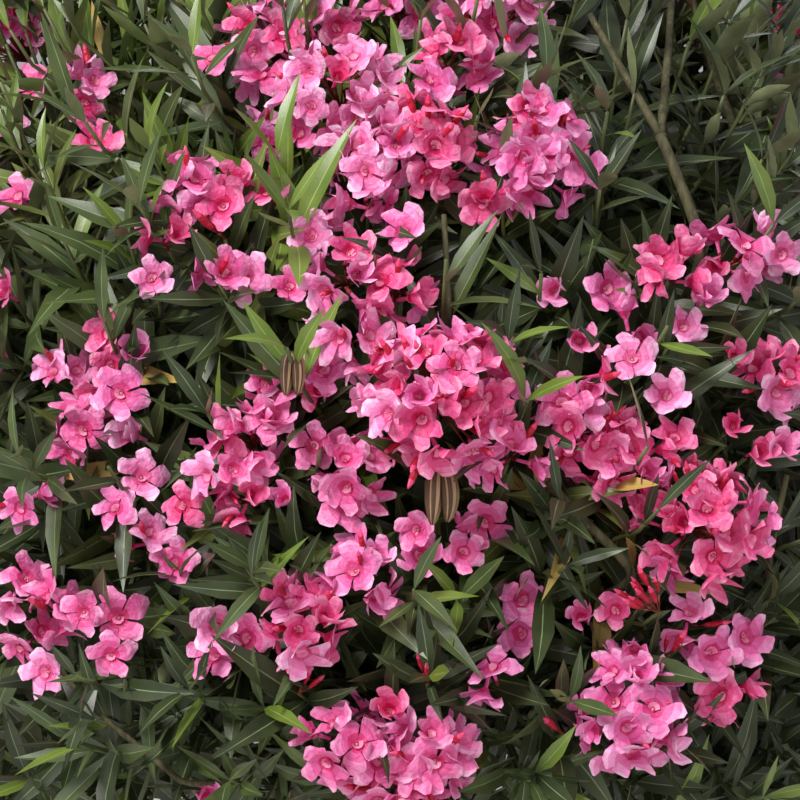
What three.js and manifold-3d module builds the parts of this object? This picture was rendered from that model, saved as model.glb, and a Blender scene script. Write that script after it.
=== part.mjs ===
// A flowering oleander in a plain clay pot: several stems rise from the soil, each forks into three boughs, and
// each bough carries one mass of whorled, lance-shaped leaves and domed flower heads. Millimetres, +Z up, with the
// origin at the middle of the pot's flat underside. The front of the plant faces -Y.
import * as THREE from "three";
import { mergeVertices } from "three/addons/utils/BufferGeometryUtils.js";
import Module from "manifold-3d";

const wasm = await Module();
wasm.setup();

// Clearance between pieces that touch.
const GAP = 0.3;

// Pot and soil.
const POT_HEIGHT = 380;
const POT_FOOT_RADIUS = 158;
const POT_SHOULDER_RADIUS = 204;
const POT_WALL = 14;
const POT_FLOOR = 20;
const RIM_HEIGHT = 54;
const RIM_STEP = 12;
const RIM_ROUND = 5;
const POT_SIDES = 32;
const DRAIN_COUNT = 3;
const DRAIN_SIDES = 8;
const DRAIN_RADIUS = 11;
const DRAIN_RING_RADIUS = 70;
const SOIL_BELOW_LIP = 38;

// Crown: the heart is the middle of the rounded head, and the reach is how far it spreads each way from there.
const HEART = new THREE.Vector3(0, 0, 925);
const REACH = new THREE.Vector3(560, 550, 580);
const MASS_COUNT = 15;
const LOWEST_SINE = -0.56; // sine of the lowest mass's edge below the heart's level
const GOLDEN_ANGLE = Math.PI * (3 - Math.sqrt(5));
const CROWN_TURN = -0.35; // turns the whole pattern of masses about the pot's axis
const CELL_MARGIN = 2; // half the free space kept between neighbouring masses
const LIMB_MARGIN = 4; // free space kept between foliage and any limb

// Stems and boughs.
const STEM_COUNT = 5;
const BOUGHS_PER_STEM = MASS_COUNT / STEM_COUNT;
const STEM_FOOT_RING = 62;
const STEM_FORK_RING = 128;
const STEM_FORK_HEIGHT = 640;
const STEM_FORK_SPREAD = 34; // the forks stand this much higher and lower than each other
const STEM_FOOT_RADIUS = 14;
const STEM_TIP_RADIUS = 10.5;
const STEM_FLARE = 0.55; // extra share of the radius at the soil
const STEM_FLARE_LENGTH = 0.12; // share of the stem over which the flare dies away
const BOUGH_FOOT_RADIUS = 5;
const BOUGH_TIP_RADIUS = 3.9;
const BOUGH_SPACING = 6.2; // from the fork's middle to each bough's foot
const STEM_SIDES = 8;
const BOUGH_SIDES = 5;
const LIMB_RINGS = 4;

// Foliage, as shares of the reach where no unit is meant.
const MASS_START = 0.4;
const MASS_STEM_LENGTH = 88;
const MASS_STEM_RADIUS = 3.7;
const SHOOT_RADIUS = 3;
const SHOOT_TIP_RADIUS = 1.8;
const SHOOT_RINGS = 2;
const SHOOT_FOOT_INSET = 0.06; // the first shoot's foot, as a share of the mass's stem below its end
const SHOOT_FOOT_STEP = 0.13; // between one shoot's foot and the next
const SHOOT_ARCH = 0.5; // how far a shoot first follows its mass's stem before it turns to its own tip
const UPWARD_HABIT = 0.4; // how much the shoots turn up towards the light
const RING_SHOOTS = 5;
const RING_ANGLE = THREE.MathUtils.degToRad(17);
const SHOOT_DEPTH_LEAFY = 0.87;
const SHOOT_DEPTH_FLOWER = 0.9;
const LEAF_LENGTH = 150;
const LEAF_WIDTH = 34;
const LEAF_THICKNESS = 2.2; // of the keel below the blade
const LEAF_FOLD = 2; // the edges stand this much above the line from root to tip
const LEAF_WIDEST = 0.48; // share of the length
const LEAF_OPENING = THREE.MathUtils.degToRad(48); // between leaf and shoot
const LEAVES_PER_WHORL = 3;
const WHORLS_FLOWER = [0.6];
const WHORLS_LEAFY = [0.5, 0.74, 0.98];
const HEAD_RADIUS = 60;
const HEAD_UNDERSIDE = 0.45; // how deep a head's underside is for its radius
const FLOWER_CUP = 15; // depth of the cup in each open flower
const SEED = 4710;
const MERGE_DISTANCE = 0.25; // edges shorter than this, left by joining, are drawn together

const UP = new THREE.Vector3(0, 0, 1);

// A repeatable stream of numbers from 0 to 1.
function seededRandom(seed) {
  const modulus = 2147483647;
  const factor = 48271;
  let state = (seed * 7919) % modulus;
  return () => {
    state = (state * factor) % modulus;
    return state / modulus;
  };
}

// A closed geometry as an exact solid.
function solidOf(geometry) {
  const bare = new THREE.BufferGeometry().setAttribute("position", geometry.getAttribute("position"));
  bare.setIndex(geometry.index);
  const merged = mergeVertices(bare, 1e-3);
  const mesh = new wasm.Mesh({
    numProp: 3,
    vertProperties: merged.attributes.position.array,
    triVerts: new Uint32Array(merged.index.array),
  });
  return new wasm.Manifold(mesh);
}

// A solid's surface as a geometry.
function geometryOf(solid) {
  const mesh = solid.getMesh();
  const geometry = new THREE.BufferGeometry();
  geometry.setAttribute("position", new THREE.BufferAttribute(new Float32Array(mesh.vertProperties), 3));
  geometry.setIndex(new THREE.BufferAttribute(new Uint32Array(mesh.triVerts), 1));
  geometry.computeVertexNormals();
  return geometry;
}

// The largest of a solid's separate bodies: a scrap that touches nothing is dropped.
function largestBody(solid) {
  return solid.decompose().reduce((largest, body) => (body.volume() > largest.volume() ? body : largest));
}

// A turned shape about +Z, from a profile of [radius, height] points that starts and ends on the axis.
function turned(profile) {
  const points = profile.map(([radius, height]) => new THREE.Vector2(radius, height));
  return new THREE.LatheGeometry(points, POT_SIDES).rotateX(Math.PI / 2);
}

// Radius of the pot's outer wall at a height.
function potRadiusAt(height) {
  const share = height / (POT_HEIGHT - RIM_HEIGHT);
  return THREE.MathUtils.lerp(POT_FOOT_RADIUS, POT_SHOULDER_RADIUS, share);
}

function makePot() {
  const rimBottom = POT_HEIGHT - RIM_HEIGHT;
  const rimRadius = potRadiusAt(POT_HEIGHT) + RIM_STEP;
  const lipInside = potRadiusAt(POT_HEIGHT) - POT_WALL;
  const body = solidOf(
    turned([
      [0, 0],
      [POT_FOOT_RADIUS - RIM_ROUND, 0],
      [POT_FOOT_RADIUS, RIM_ROUND],
      [potRadiusAt(rimBottom), rimBottom],
      [rimRadius - RIM_ROUND, rimBottom],
      [rimRadius, rimBottom + RIM_ROUND],
      [rimRadius, POT_HEIGHT - RIM_ROUND],
      [rimRadius - RIM_ROUND, POT_HEIGHT],
      [lipInside, POT_HEIGHT],
      [potRadiusAt(POT_FLOOR) - POT_WALL, POT_FLOOR],
      [0, POT_FLOOR],
    ]),
  );
  const drains = [];
  for (let i = 0; i < DRAIN_COUNT; i++) {
    const angle = (i * 2 * Math.PI) / DRAIN_COUNT;
    const drill = new THREE.CylinderGeometry(DRAIN_RADIUS, DRAIN_RADIUS, POT_FLOOR * 3, DRAIN_SIDES);
    drill.rotateX(Math.PI / 2);
    drill.translate(DRAIN_RING_RADIUS * Math.cos(angle), DRAIN_RING_RADIUS * Math.sin(angle), 0);
    drains.push(solidOf(drill));
  }
  return geometryOf(body.subtract(wasm.Manifold.union(drains)));
}

function soilHeight() {
  return POT_HEIGHT - SOIL_BELOW_LIP;
}

function makeSoil() {
  const bottom = POT_FLOOR + GAP;
  const top = soilHeight();
  const insideAt = (height) => potRadiusAt(height) - POT_WALL - GAP * 2;
  return turned([
    [0, bottom],
    [insideAt(bottom), bottom],
    [insideAt(top), top],
    [0, top],
  ]);
}

// The point in a direction from the heart, at a share of the crown's reach.
function crownPoint(direction, depth) {
  return direction.clone().multiply(REACH).multiplyScalar(depth).add(HEART);
}

// Evenly spread directions, one for each mass, from the crown's top down to its skirt.
function massDirections() {
  const directions = [];
  for (let k = 0; k < MASS_COUNT; k++) {
    const sine = 1 - ((k + 0.5) * (1 - LOWEST_SINE)) / MASS_COUNT;
    const cosine = Math.sqrt(1 - sine * sine);
    const azimuth = k * GOLDEN_ANGLE + CROWN_TURN;
    directions.push(new THREE.Vector3(cosine * Math.cos(azimuth), cosine * Math.sin(azimuth), sine));
  }
  return directions;
}

const DIRECTIONS = massDirections();

// The way a mass's own stem grows: outwards from the heart and a little up.
function growthOf(direction) {
  return direction.clone().multiply(REACH).normalize().addScaledVector(UP, UPWARD_HABIT).normalize();
}

// A round limb: a closed cylinder swept along a curve, its radius given by a function of the share of its length.
function sweptLimb(curve, radiusAt, sides, rings) {
  const geometry = new THREE.CylinderGeometry(1, 1, 1, sides, rings);
  const frames = curve.computeFrenetFrames(rings);
  const position = geometry.attributes.position;
  for (let i = 0; i < position.count; i++) {
    const along = position.getY(i) + 0.5;
    const ring = Math.round(along * rings);
    const radius = radiusAt(along);
    const point = curve
      .getPointAt(along)
      .addScaledVector(frames.normals[ring], position.getX(i) * radius)
      .addScaledVector(frames.binormals[ring], -position.getZ(i) * radius);
    position.setXYZ(i, point.x, point.y, point.z);
  }
  return geometry;
}

// The masses shared out among the stems, neighbours in azimuth together.
function massesByStem() {
  const order = DIRECTIONS.map((direction, k) => [Math.atan2(direction.y, direction.x), k]);
  order.sort((a, b) => a[0] - b[0]);
  const groups = [];
  for (let s = 0; s < STEM_COUNT; s++) {
    groups.push(order.slice(s * BOUGHS_PER_STEM, (s + 1) * BOUGHS_PER_STEM).map(([, k]) => k));
  }
  return groups;
}

// The middle azimuth of a stem's masses.
function azimuthOf(group) {
  const sum = new THREE.Vector2();
  for (const k of group) sum.add(new THREE.Vector2(DIRECTIONS[k].x, DIRECTIONS[k].y).normalize());
  return Math.atan2(sum.y, sum.x);
}

function stemCurve(group, index) {
  const azimuth = azimuthOf(group);
  const outward = new THREE.Vector3(Math.cos(azimuth), Math.sin(azimuth), 0);
  const foot = outward.clone().multiplyScalar(STEM_FOOT_RING).setZ(soilHeight() + GAP);
  const forkHeight = STEM_FORK_HEIGHT + STEM_FORK_SPREAD * (index % 2 ? 1 : -1);
  const fork = outward.clone().multiplyScalar(STEM_FORK_RING).setZ(forkHeight);
  const rise = (forkHeight - foot.z) / 3;
  const leaning = outward.clone().multiplyScalar(0.3).add(UP).normalize();
  return new THREE.CubicBezierCurve3(
    foot,
    foot.clone().addScaledVector(UP, rise),
    fork.clone().addScaledVector(leaning, -rise),
    fork,
  );
}

// Radius of a stem at a share of its length, with the flare at the soil.
function stemRadius(along) {
  const flare = 1 + STEM_FLARE * Math.exp(-along / STEM_FLARE_LENGTH);
  return THREE.MathUtils.lerp(STEM_FOOT_RADIUS, STEM_TIP_RADIUS, along) * flare;
}

function boughRadius(along) {
  return THREE.MathUtils.lerp(BOUGH_FOOT_RADIUS, BOUGH_TIP_RADIUS, along);
}

// The curves of the three boughs on one stem's fork, each starting on the side that faces its own mass.
function boughCurves(stem, group) {
  const fork = stem.getPoint(1);
  const axis = stem.getTangent(1);
  const side = new THREE.Vector3().crossVectors(axis, UP).normalize();
  const other = new THREE.Vector3().crossVectors(axis, side).normalize();
  const ends = group.map((k) => crownPoint(DIRECTIONS[k], MASS_START));
  const bearings = ends.map((end) => {
    const away = end.clone().sub(fork);
    return Math.atan2(away.dot(other), away.dot(side));
  });
  const order = [...group.keys()].sort((a, b) => bearings[a] - bearings[b]);
  const step = (2 * Math.PI) / group.length;
  const drift = order.reduce(
    (sum, member, place) => sum.add(new THREE.Vector2(
      Math.cos(bearings[member] - place * step),
      Math.sin(bearings[member] - place * step),
    )),
    new THREE.Vector2(),
  );
  const turn = Math.atan2(drift.y, drift.x);
  const curves = [];
  order.forEach((member, place) => {
    const angle = turn + place * step;
    const foot = fork
      .clone()
      .addScaledVector(axis, GAP)
      .addScaledVector(side, BOUGH_SPACING * Math.cos(angle))
      .addScaledVector(other, BOUGH_SPACING * Math.sin(angle));
    const end = ends[member];
    const length = foot.distanceTo(end);
    const arrival = growthOf(DIRECTIONS[group[member]]);
    curves[member] = new THREE.CubicBezierCurve3(
      foot,
      foot.clone().addScaledVector(axis, length * 0.3),
      end.clone().addScaledVector(arrival, -length * 0.34),
      end,
    );
  });
  return curves;
}

// Whether a point keeps to its own mass's wedge of the crown, clear of the neighbouring masses.
function insideCell(point, mass) {
  const scaled = point.clone().sub(HEART).divide(REACH);
  const own = DIRECTIONS[mass];
  return DIRECTIONS.every((direction, k) => {
    if (k === mass) return true;
    const plane = own.clone().sub(direction).normalize();
    return scaled.dot(plane) * Math.min(REACH.x, REACH.y, REACH.z) > CELL_MARGIN;
  });
}

const LIMBS = []; // {points, radii} of every stem and bough

function rememberLimb(curve, radiusAt) {
  const samples = 24;
  LIMBS.push({
    points: curve.getSpacedPoints(samples),
    radii: Array.from({ length: samples + 1 }, (_, i) => radiusAt(i / samples)),
  });
}

// Whether the straight line between two points keeps clear of every limb, for something of a given half width.
function clearOfLimbs(from, to, halfWidth) {
  const line = new THREE.Line3(from, to);
  const nearest = new THREE.Vector3();
  return LIMBS.every(({ points, radii }) =>
    points.every((point, i) => {
      line.closestPointToPoint(point, true, nearest);
      return nearest.distanceTo(point) > radii[i] + halfWidth + LIMB_MARGIN;
    }),
  );
}

// A thin lance-shaped blade of six faces, from its root along a direction: a keel below and two lifted edges.
function leafSolid(root, direction, upward, length, mass) {
  const across = new THREE.Vector3().crossVectors(direction, upward).normalize();
  const normal = new THREE.Vector3().crossVectors(across, direction).normalize();
  const size = length / LEAF_LENGTH;
  const profile = [[0, 0], [1, LEAF_WIDEST], [0, 1]].map(([radius, along]) => new THREE.Vector2(radius, along));
  const geometry = new THREE.LatheGeometry(profile, 3);
  const position = geometry.attributes.position;
  const points = [];
  for (let i = 0; i < position.count; i++) {
    const sideways = (-position.getX(i) / Math.sin((2 * Math.PI) / 3)) * (LEAF_WIDTH / 2) * size;
    const depth = position.getZ(i);
    const lift = depth > 0 ? -depth * LEAF_THICKNESS : -depth * 2 * LEAF_FOLD;
    const point = root
      .clone()
      .addScaledVector(direction, position.getY(i) * length)
      .addScaledVector(across, sideways)
      .addScaledVector(normal, lift);
    position.setXYZ(i, point.x, point.y, point.z);
    points.push(point);
  }
  const tip = root.clone().addScaledVector(direction, length);
  const fits = points.every((point) => insideCell(point, mass)) && clearOfLimbs(root, tip, (LEAF_WIDTH * size) / 2);
  return fits ? solidOf(geometry) : null;
}

// A domed flower head: twelve cupped flowers of five sides that meet at their rims, flatter underneath.
function headSolid(centre, outward, mass, random) {
  const cups = new THREE.IcosahedronGeometry(1, 0).attributes.position;
  const geometry = new THREE.IcosahedronGeometry(1, 1);
  const position = geometry.attributes.position;
  const turn = new THREE.Quaternion().setFromUnitVectors(UP, outward);
  turn.multiply(new THREE.Quaternion().setFromAxisAngle(UP, random() * Math.PI * 2));
  const middle = new THREE.Vector3();
  const points = [];
  for (let i = 0; i < position.count; i++) {
    const point = new THREE.Vector3().fromBufferAttribute(position, i);
    let isCup = false;
    for (let c = 0; c < cups.count; c++) {
      if (point.distanceTo(middle.fromBufferAttribute(cups, c)) < 1e-3) isCup = true;
    }
    point.multiplyScalar(isCup ? HEAD_RADIUS - FLOWER_CUP : HEAD_RADIUS);
    if (point.z < 0) point.z *= HEAD_UNDERSIDE;
    point.applyQuaternion(turn).add(centre);
    position.setXYZ(i, point.x, point.y, point.z);
    points.push(point);
  }
  return points.every((point) => insideCell(point, mass)) ? solidOf(geometry) : null;
}

// A direction at an angle from another, towards a bearing round it.
function tilted(axis, angle, bearing) {
  const side = new THREE.Vector3().crossVectors(axis, Math.abs(axis.z) < 0.9 ? UP : new THREE.Vector3(1, 0, 0));
  side.normalize();
  const other = new THREE.Vector3().crossVectors(axis, side);
  return axis
    .clone()
    .multiplyScalar(Math.cos(angle))
    .addScaledVector(side, Math.sin(angle) * Math.cos(bearing))
    .addScaledVector(other, Math.sin(angle) * Math.sin(bearing));
}

// The shoots of one mass: one in its middle and a ring round it, by turns in flower and in leaf.
function shootTargets(mass, random) {
  const start = random() * Math.PI * 2;
  const targets = [{ direction: DIRECTIONS[mass].clone(), flowering: mass % 2 === 0 }];
  for (let n = 0; n < RING_SHOOTS; n++) {
    const bearing = start + (n * 2 * Math.PI) / RING_SHOOTS;
    targets.push({ direction: tilted(DIRECTIONS[mass], RING_ANGLE, bearing), flowering: n % 2 === 1 });
  }
  return targets;
}

// The point inside a swept shoot at a share of its length: its rings are joined by straight runs.
function pointInShoot(curve, share) {
  const ring = Math.min(SHOOT_RINGS - 1, Math.floor(share * SHOOT_RINGS));
  const from = curve.getPointAt(ring / SHOOT_RINGS);
  const to = curve.getPointAt((ring + 1) / SHOOT_RINGS);
  return from.lerp(to, share * SHOOT_RINGS - ring);
}

// The whorls of leaves on one shoot.
function whorlSolids(curve, shares, mass, random) {
  const solids = [];
  shares.forEach((share, w) => {
    const root = pointInShoot(curve, share);
    const axis = curve.getTangentAt(share);
    const start = random() * Math.PI * 2 + w * (Math.PI / LEAVES_PER_WHORL);
    const opening = share > 0.9 ? LEAF_OPENING * 0.5 : LEAF_OPENING;
    for (let n = 0; n < LEAVES_PER_WHORL; n++) {
      const direction = tilted(axis, opening, start + (n * 2 * Math.PI) / LEAVES_PER_WHORL);
      const length = LEAF_LENGTH * (0.86 + 0.24 * random());
      const leaf = leafSolid(root, direction, axis, length, mass);
      if (leaf) solids.push(leaf);
    }
  });
  return solids;
}

// One mass: its stem, the shoots that branch from it, and the leaves and flower heads fused on.
function makeMass(mass) {
  const random = seededRandom(SEED + mass);
  const growth = growthOf(DIRECTIONS[mass]);
  const start = crownPoint(DIRECTIONS[mass], MASS_START).addScaledVector(growth, GAP);
  const branching = start.clone().addScaledVector(growth, MASS_STEM_LENGTH);
  const stem = new THREE.LineCurve3(start, branching);
  const solids = [solidOf(sweptLimb(stem, () => MASS_STEM_RADIUS, 3, 1))];
  shootTargets(mass, random).forEach(({ direction, flowering }, n) => {
    const depth = flowering ? SHOOT_DEPTH_FLOWER : SHOOT_DEPTH_LEAFY;
    const tip = crownPoint(direction, depth);
    const foot = start.clone().lerp(branching, 1 - SHOOT_FOOT_INSET - n * SHOOT_FOOT_STEP);
    const reach = foot.distanceTo(tip);
    const heading = tip.clone().sub(foot).divideScalar(reach).addScaledVector(growth, SHOOT_ARCH).normalize();
    const bend = foot.clone().addScaledVector(heading, reach * 0.5);
    const curve = new THREE.QuadraticBezierCurve3(foot, bend, tip);
    const radius = (along) => THREE.MathUtils.lerp(SHOOT_RADIUS, SHOOT_TIP_RADIUS, along);
    solids.push(solidOf(sweptLimb(curve, radius, 3, SHOOT_RINGS)));
    solids.push(...whorlSolids(curve, flowering ? WHORLS_FLOWER : WHORLS_LEAFY, mass, random));
    const head = flowering ? headSolid(tip, curve.getTangentAt(1), mass, random) : null;
    if (head) solids.push(head);
  });
  return geometryOf(largestBody(wasm.Manifold.union(solids).simplify(MERGE_DISTANCE)));
}

const BARK = new THREE.MeshStandardMaterial({ color: 0x6b5d47, roughness: 0.85, metalness: 0 });
const CLAY = new THREE.MeshStandardMaterial({ color: 0xb5673f, roughness: 0.9, metalness: 0 });
const EARTH = new THREE.MeshStandardMaterial({ color: 0x3a2a1e, roughness: 1, metalness: 0 });
const FOLIAGE = new THREE.MeshStandardMaterial({ color: 0x3f5a34, roughness: 0.5, metalness: 0 });

function named(name, geometry, material) {
  const mesh = new THREE.Mesh(geometry, material);
  mesh.name = name;
  return mesh;
}

function makePlant() {
  const plant = new THREE.Group();
  plant.add(named("pot", makePot(), CLAY));
  plant.add(named("soil", makeSoil(), EARTH));
  massesByStem().forEach((group, s) => {
    const stem = stemCurve(group, s);
    rememberLimb(stem, stemRadius);
    plant.add(named(`stem_${s + 1}`, sweptLimb(stem, stemRadius, STEM_SIDES, LIMB_RINGS), BARK));
    boughCurves(stem, group).forEach((curve, member) => {
      rememberLimb(curve, boughRadius);
      const label = String(group[member] + 1).padStart(2, "0");
      plant.add(named(`bough_${label}`, sweptLimb(curve, boughRadius, BOUGH_SIDES, LIMB_RINGS), BARK));
    });
  });
  for (let mass = 0; mass < MASS_COUNT; mass++) {
    plant.add(named(`foliage_${String(mass + 1).padStart(2, "0")}`, makeMass(mass), FOLIAGE));
  }
  return plant;
}

export default makePlant();
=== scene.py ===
"""A flowering oleander in a plain clay pot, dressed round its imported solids.

The shoots grow on from the boughs by the rule that grew the solids, carried to finer twigs.
Leaves, flowers, buds and pods are small templates, shaped once and joined into a few large pieces.
Everything is in metres, with +Z up and the front of the plant towards -Y.
"""
from __future__ import annotations

import functools
import logging
import math
from abc import ABC, abstractmethod
from dataclasses import dataclass, field, replace
from enum import Enum, IntEnum

import bmesh
import bpy
import numpy as np
from bpy.types import Material, NodeSocket, Object
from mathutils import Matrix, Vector, noise
from numpy.linalg import norm

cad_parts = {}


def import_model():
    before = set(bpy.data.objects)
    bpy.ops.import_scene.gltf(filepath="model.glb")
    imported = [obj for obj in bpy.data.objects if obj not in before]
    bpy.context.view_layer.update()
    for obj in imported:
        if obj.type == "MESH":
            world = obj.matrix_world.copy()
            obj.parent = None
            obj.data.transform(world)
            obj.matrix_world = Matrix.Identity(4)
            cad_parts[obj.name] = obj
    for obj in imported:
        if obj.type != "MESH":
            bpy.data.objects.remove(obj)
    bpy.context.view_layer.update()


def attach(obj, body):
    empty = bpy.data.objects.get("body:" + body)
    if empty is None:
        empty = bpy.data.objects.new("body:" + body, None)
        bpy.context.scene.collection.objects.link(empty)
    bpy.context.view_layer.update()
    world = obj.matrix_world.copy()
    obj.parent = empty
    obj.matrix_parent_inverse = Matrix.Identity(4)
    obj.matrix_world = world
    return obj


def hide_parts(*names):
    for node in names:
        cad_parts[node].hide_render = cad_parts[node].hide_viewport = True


LOG = logging.getLogger("oleander")
BODY = "root"
UP = np.array((0.0, 0.0, 1.0))
SIDEWAYS = np.array((1.0, 0.0, 0.0))
FULL_TURN = 2 * math.pi
GOLDEN_ANGLE = math.pi * (3 - math.sqrt(5))
PIECE_LIMIT = 198_000  # triangles in one joined piece
CRISP_ANGLE = math.radians(120)  # only a leaf's edge turns more sharply than this

Screen = tuple[int, int, int]  # a colour as a screen shows it, each part from 0 to 255
Array = np.ndarray
Pair = tuple[float, float]  # the ends of a range, or a place in a picture
Triple = tuple[float, float, float]  # a place, a reach or a light's colour


# Numbers and directions

class Stream:
    """A repeatable stream of numbers from 0 to 1, the same one that grew the solids."""

    MODULUS = 2147483647
    FACTOR = 48271
    STRIDE = 7919

    def __init__(self, seed: int) -> None:
        """Starts the stream.

        Args:
            seed: any whole number; the same seed gives the same numbers.
        """
        self.state = seed * self.STRIDE % self.MODULUS

    def share(self) -> float:
        """Returns the next number between 0 and 1."""
        self.state = self.state * self.FACTOR % self.MODULUS
        return self.state / self.MODULUS

    def between(self, low: float, high: float) -> float:
        """Returns the next number between two limits."""
        return low + (high - low) * self.share()

    def chance(self, share: float) -> bool:
        """Returns True for the given share of draws."""
        return self.share() < share

    def pick(self, choices: list[Template]) -> Template:
        """Returns one of several templates."""
        return choices[int(self.share() * len(choices))]

    def turn(self) -> float:
        """Returns an angle anywhere in a full turn."""
        return self.share() * FULL_TURN


def unit(vector: Array) -> Array:
    """Returns a vector of length 1 in the same direction."""
    return vector / norm(vector)


def tilted(axis: Array, angle: float, bearing: float) -> Array:
    """Leans a direction away from an axis.

    Args:
        axis: the direction to lean from, of length 1.
        angle: how far to lean, in radians.
        bearing: which way round the axis to lean, in radians.

    Returns:
        The leaning direction, of length 1.
    """
    side = unit(np.cross(axis, UP if abs(axis[2]) < 0.9 else SIDEWAYS))
    other = np.cross(axis, side)
    across = side * math.cos(bearing) + other * math.sin(bearing)
    return axis * math.cos(angle) + across * math.sin(angle)


def basis(forward: Array, upward: Array, roll: float = 0.0) -> Array:
    """Makes the three axes of a blade: across, along and out of its upper side.

    Args:
        forward: the way the blade runs, of length 1.
        upward: a direction that its upper side faces, more or less.
        roll: a turn about the blade's own length, in radians.

    Returns:
        A 3 by 3 array whose columns are the axes.
    """
    across = np.cross(forward, upward)
    if norm(across) < 1e-6:
        across = np.cross(forward, SIDEWAYS)
    across = unit(across)
    normal = np.cross(across, forward)
    turned = across * math.cos(roll) + normal * math.sin(roll)
    return np.column_stack((turned, forward, np.cross(turned, forward)))


def standing(along: Array, spin: float) -> Array:
    """Makes the three axes of a part whose own +Z points along a direction, as the columns of an array."""
    side = tilted(along, math.pi / 2, spin)
    return np.column_stack((side, np.cross(along, side), along))


# Paths and tubes

@dataclass
class Path:
    """A smooth run of evenly spaced points, with a direction and two cross axes at each."""

    points: Array

    def __post_init__(self) -> None:
        """Works out the direction at each point and carries the cross axes along without twist."""
        self.tangents = np.gradient(self.points, axis=0)
        self.tangents /= norm(self.tangents, axis=1)[:, None]
        side = tilted(self.tangents[0], math.pi / 2, 0.0)
        sides = []
        for tangent in self.tangents:
            side = unit(side - tangent * np.dot(side, tangent))
            sides.append(side)
        self.sides = np.array(sides)
        self.others = np.cross(self.tangents, self.sides)

    @classmethod
    def bezier(cls, controls: list[Array], count: int) -> Path:
        """Draws a Bezier curve and spaces its points evenly.

        Args:
            controls: the curve's three or four control points.
            count: how many points the path has.

        Returns:
            The path from the first control point to the last.
        """
        fine = np.linspace(0.0, 1.0, 160)[:, None]
        degree = len(controls) - 1
        drawn = sum(
            math.comb(degree, k) * fine ** k * (1 - fine) ** (degree - k) * control
            for k, control in enumerate(controls)
        )
        return cls.through(drawn, count)

    @classmethod
    def through(cls, drawn: Array, count: int) -> Path:
        """Spaces points evenly along a finely drawn line.

        Args:
            drawn: the line's own points.
            count: how many points the path has.

        Returns:
            The path from the line's start to its end.
        """
        steps = norm(np.diff(drawn, axis=0), axis=1)
        length = np.concatenate(([0.0], np.cumsum(steps)))
        places = np.linspace(0.0, length[-1], count)
        return cls(np.column_stack([np.interp(places, length, drawn[:, axis]) for axis in range(3)]))

    @classmethod
    def smooth(cls, knots: list[Array], count: int) -> Path:
        """Draws a line that rounds each knot between a first and a last.

        Args:
            knots: three points or more.
            count: how many points the path has.

        Returns:
            The path from the first knot to the last.
        """
        drawn = []
        for a, b, c in zip(knots, knots[1:], knots[2:]):
            start = a if a is knots[0] else (a + b) / 2
            end = c if c is knots[-1] else (b + c) / 2
            t = np.linspace(0.0, 1.0, 40)[:, None]
            drawn.append((1 - t) ** 2 * start + 2 * t * (1 - t) * b + t ** 2 * end)
        return cls.through(np.concatenate(drawn), count)

    @property
    def length(self) -> float:
        """The path's length in metres."""
        return float(norm(np.diff(self.points, axis=0), axis=1).sum())

    def at(self, share: float) -> Array:
        """Returns the point at a share of the length."""
        return self._between(self.points, share)

    def heading(self, share: float) -> Array:
        """Returns the direction at a share of the length."""
        return unit(self._between(self.tangents, share))

    def _between(self, rows: Array, share: float) -> Array:
        """Reads a row between two neighbouring points."""
        place = min(max(share, 0.0), 1.0) * (len(rows) - 1)
        index = min(int(place), len(rows) - 2)
        return rows[index] + (rows[index + 1] - rows[index]) * (place - index)


@dataclass
class Template:
    """A small mesh as arrays, ready to be copied many times."""

    points: Array
    corners: Array  # every face's corners, in one run
    counts: Array  # how many corners each face has
    finishes: Array  # the number of each face's finish

    @classmethod
    def from_bmesh(cls, shape: bmesh.types.BMesh) -> Template:
        """Reads a modelled shape into arrays and frees it.

        Args:
            shape: the shape, whose faces' material numbers become finish numbers.

        Returns:
            The shape as a template.
        """
        shape.verts.index_update()
        made = cls(
            np.array([vert.co for vert in shape.verts], float),
            np.array([vert.index for face in shape.faces for vert in face.verts], np.int32),
            np.array([len(face.verts) for face in shape.faces], np.int32),
            np.array([face.material_index for face in shape.faces], np.int32),
        )
        shape.free()
        return made

    @property
    def triangles(self) -> int:
        """How many triangles the shape has."""
        return int((self.counts - 2).sum())

    def placed(self, axes: Array, origin: Array) -> Array:
        """Gives the points of a copy, by its sized axes as an array's columns and by its origin."""
        return self.points @ axes.T + origin


@functools.cache
def tube_of(sides: int, rings: int) -> Template:
    """Makes a straight closed tube of radius 1 and length 1 along +Z, only once for each shape.

    Args:
        sides: how many sides it has.
        rings: how many steps it has from end to end.

    Returns:
        The tube; a point's z is its share of the length.
    """
    shape = bmesh.new()
    bmesh.ops.create_circle(shape, cap_ends=True, segments=sides, radius=1.0)
    top = list(shape.faces)
    bmesh.ops.reverse_faces(shape, faces=top)
    for _ in range(rings):
        grown = bmesh.ops.extrude_face_region(shape, geom=top)["geom"]
        raised = [item for item in grown if isinstance(item, bmesh.types.BMVert)]
        bmesh.ops.translate(shape, verts=raised, vec=(0.0, 0.0, 1.0 / rings))
        top = [item for item in grown if isinstance(item, bmesh.types.BMFace)]
    bmesh.ops.recalc_face_normals(shape, faces=shape.faces)
    return Template.from_bmesh(shape)


def bent(template: Template, path: Path, radii: Array) -> Array:
    """Bends a straight tube along a path.

    Args:
        template: a tube with one ring fewer than the path has points.
        path: the line to follow.
        radii: the radius at each of the template's points, or at each of the path's.

    Returns:
        The bent tube's points.
    """
    ring = np.rint(template.points[:, 2] * (len(path.points) - 1)).astype(int)
    radius = (radii if len(radii) == len(ring) else radii[ring])[:, None]
    across = path.sides[ring] * template.points[:, :1] + path.others[ring] * template.points[:, 1:2]
    return path.points[ring] + across * radius


# Joined pieces

def starts_of(counts: Array | list[int]) -> Array:
    """Gives where each share of a run begins, from the shares' sizes."""
    return np.concatenate(([0], np.cumsum(counts)[:-1]))


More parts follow.
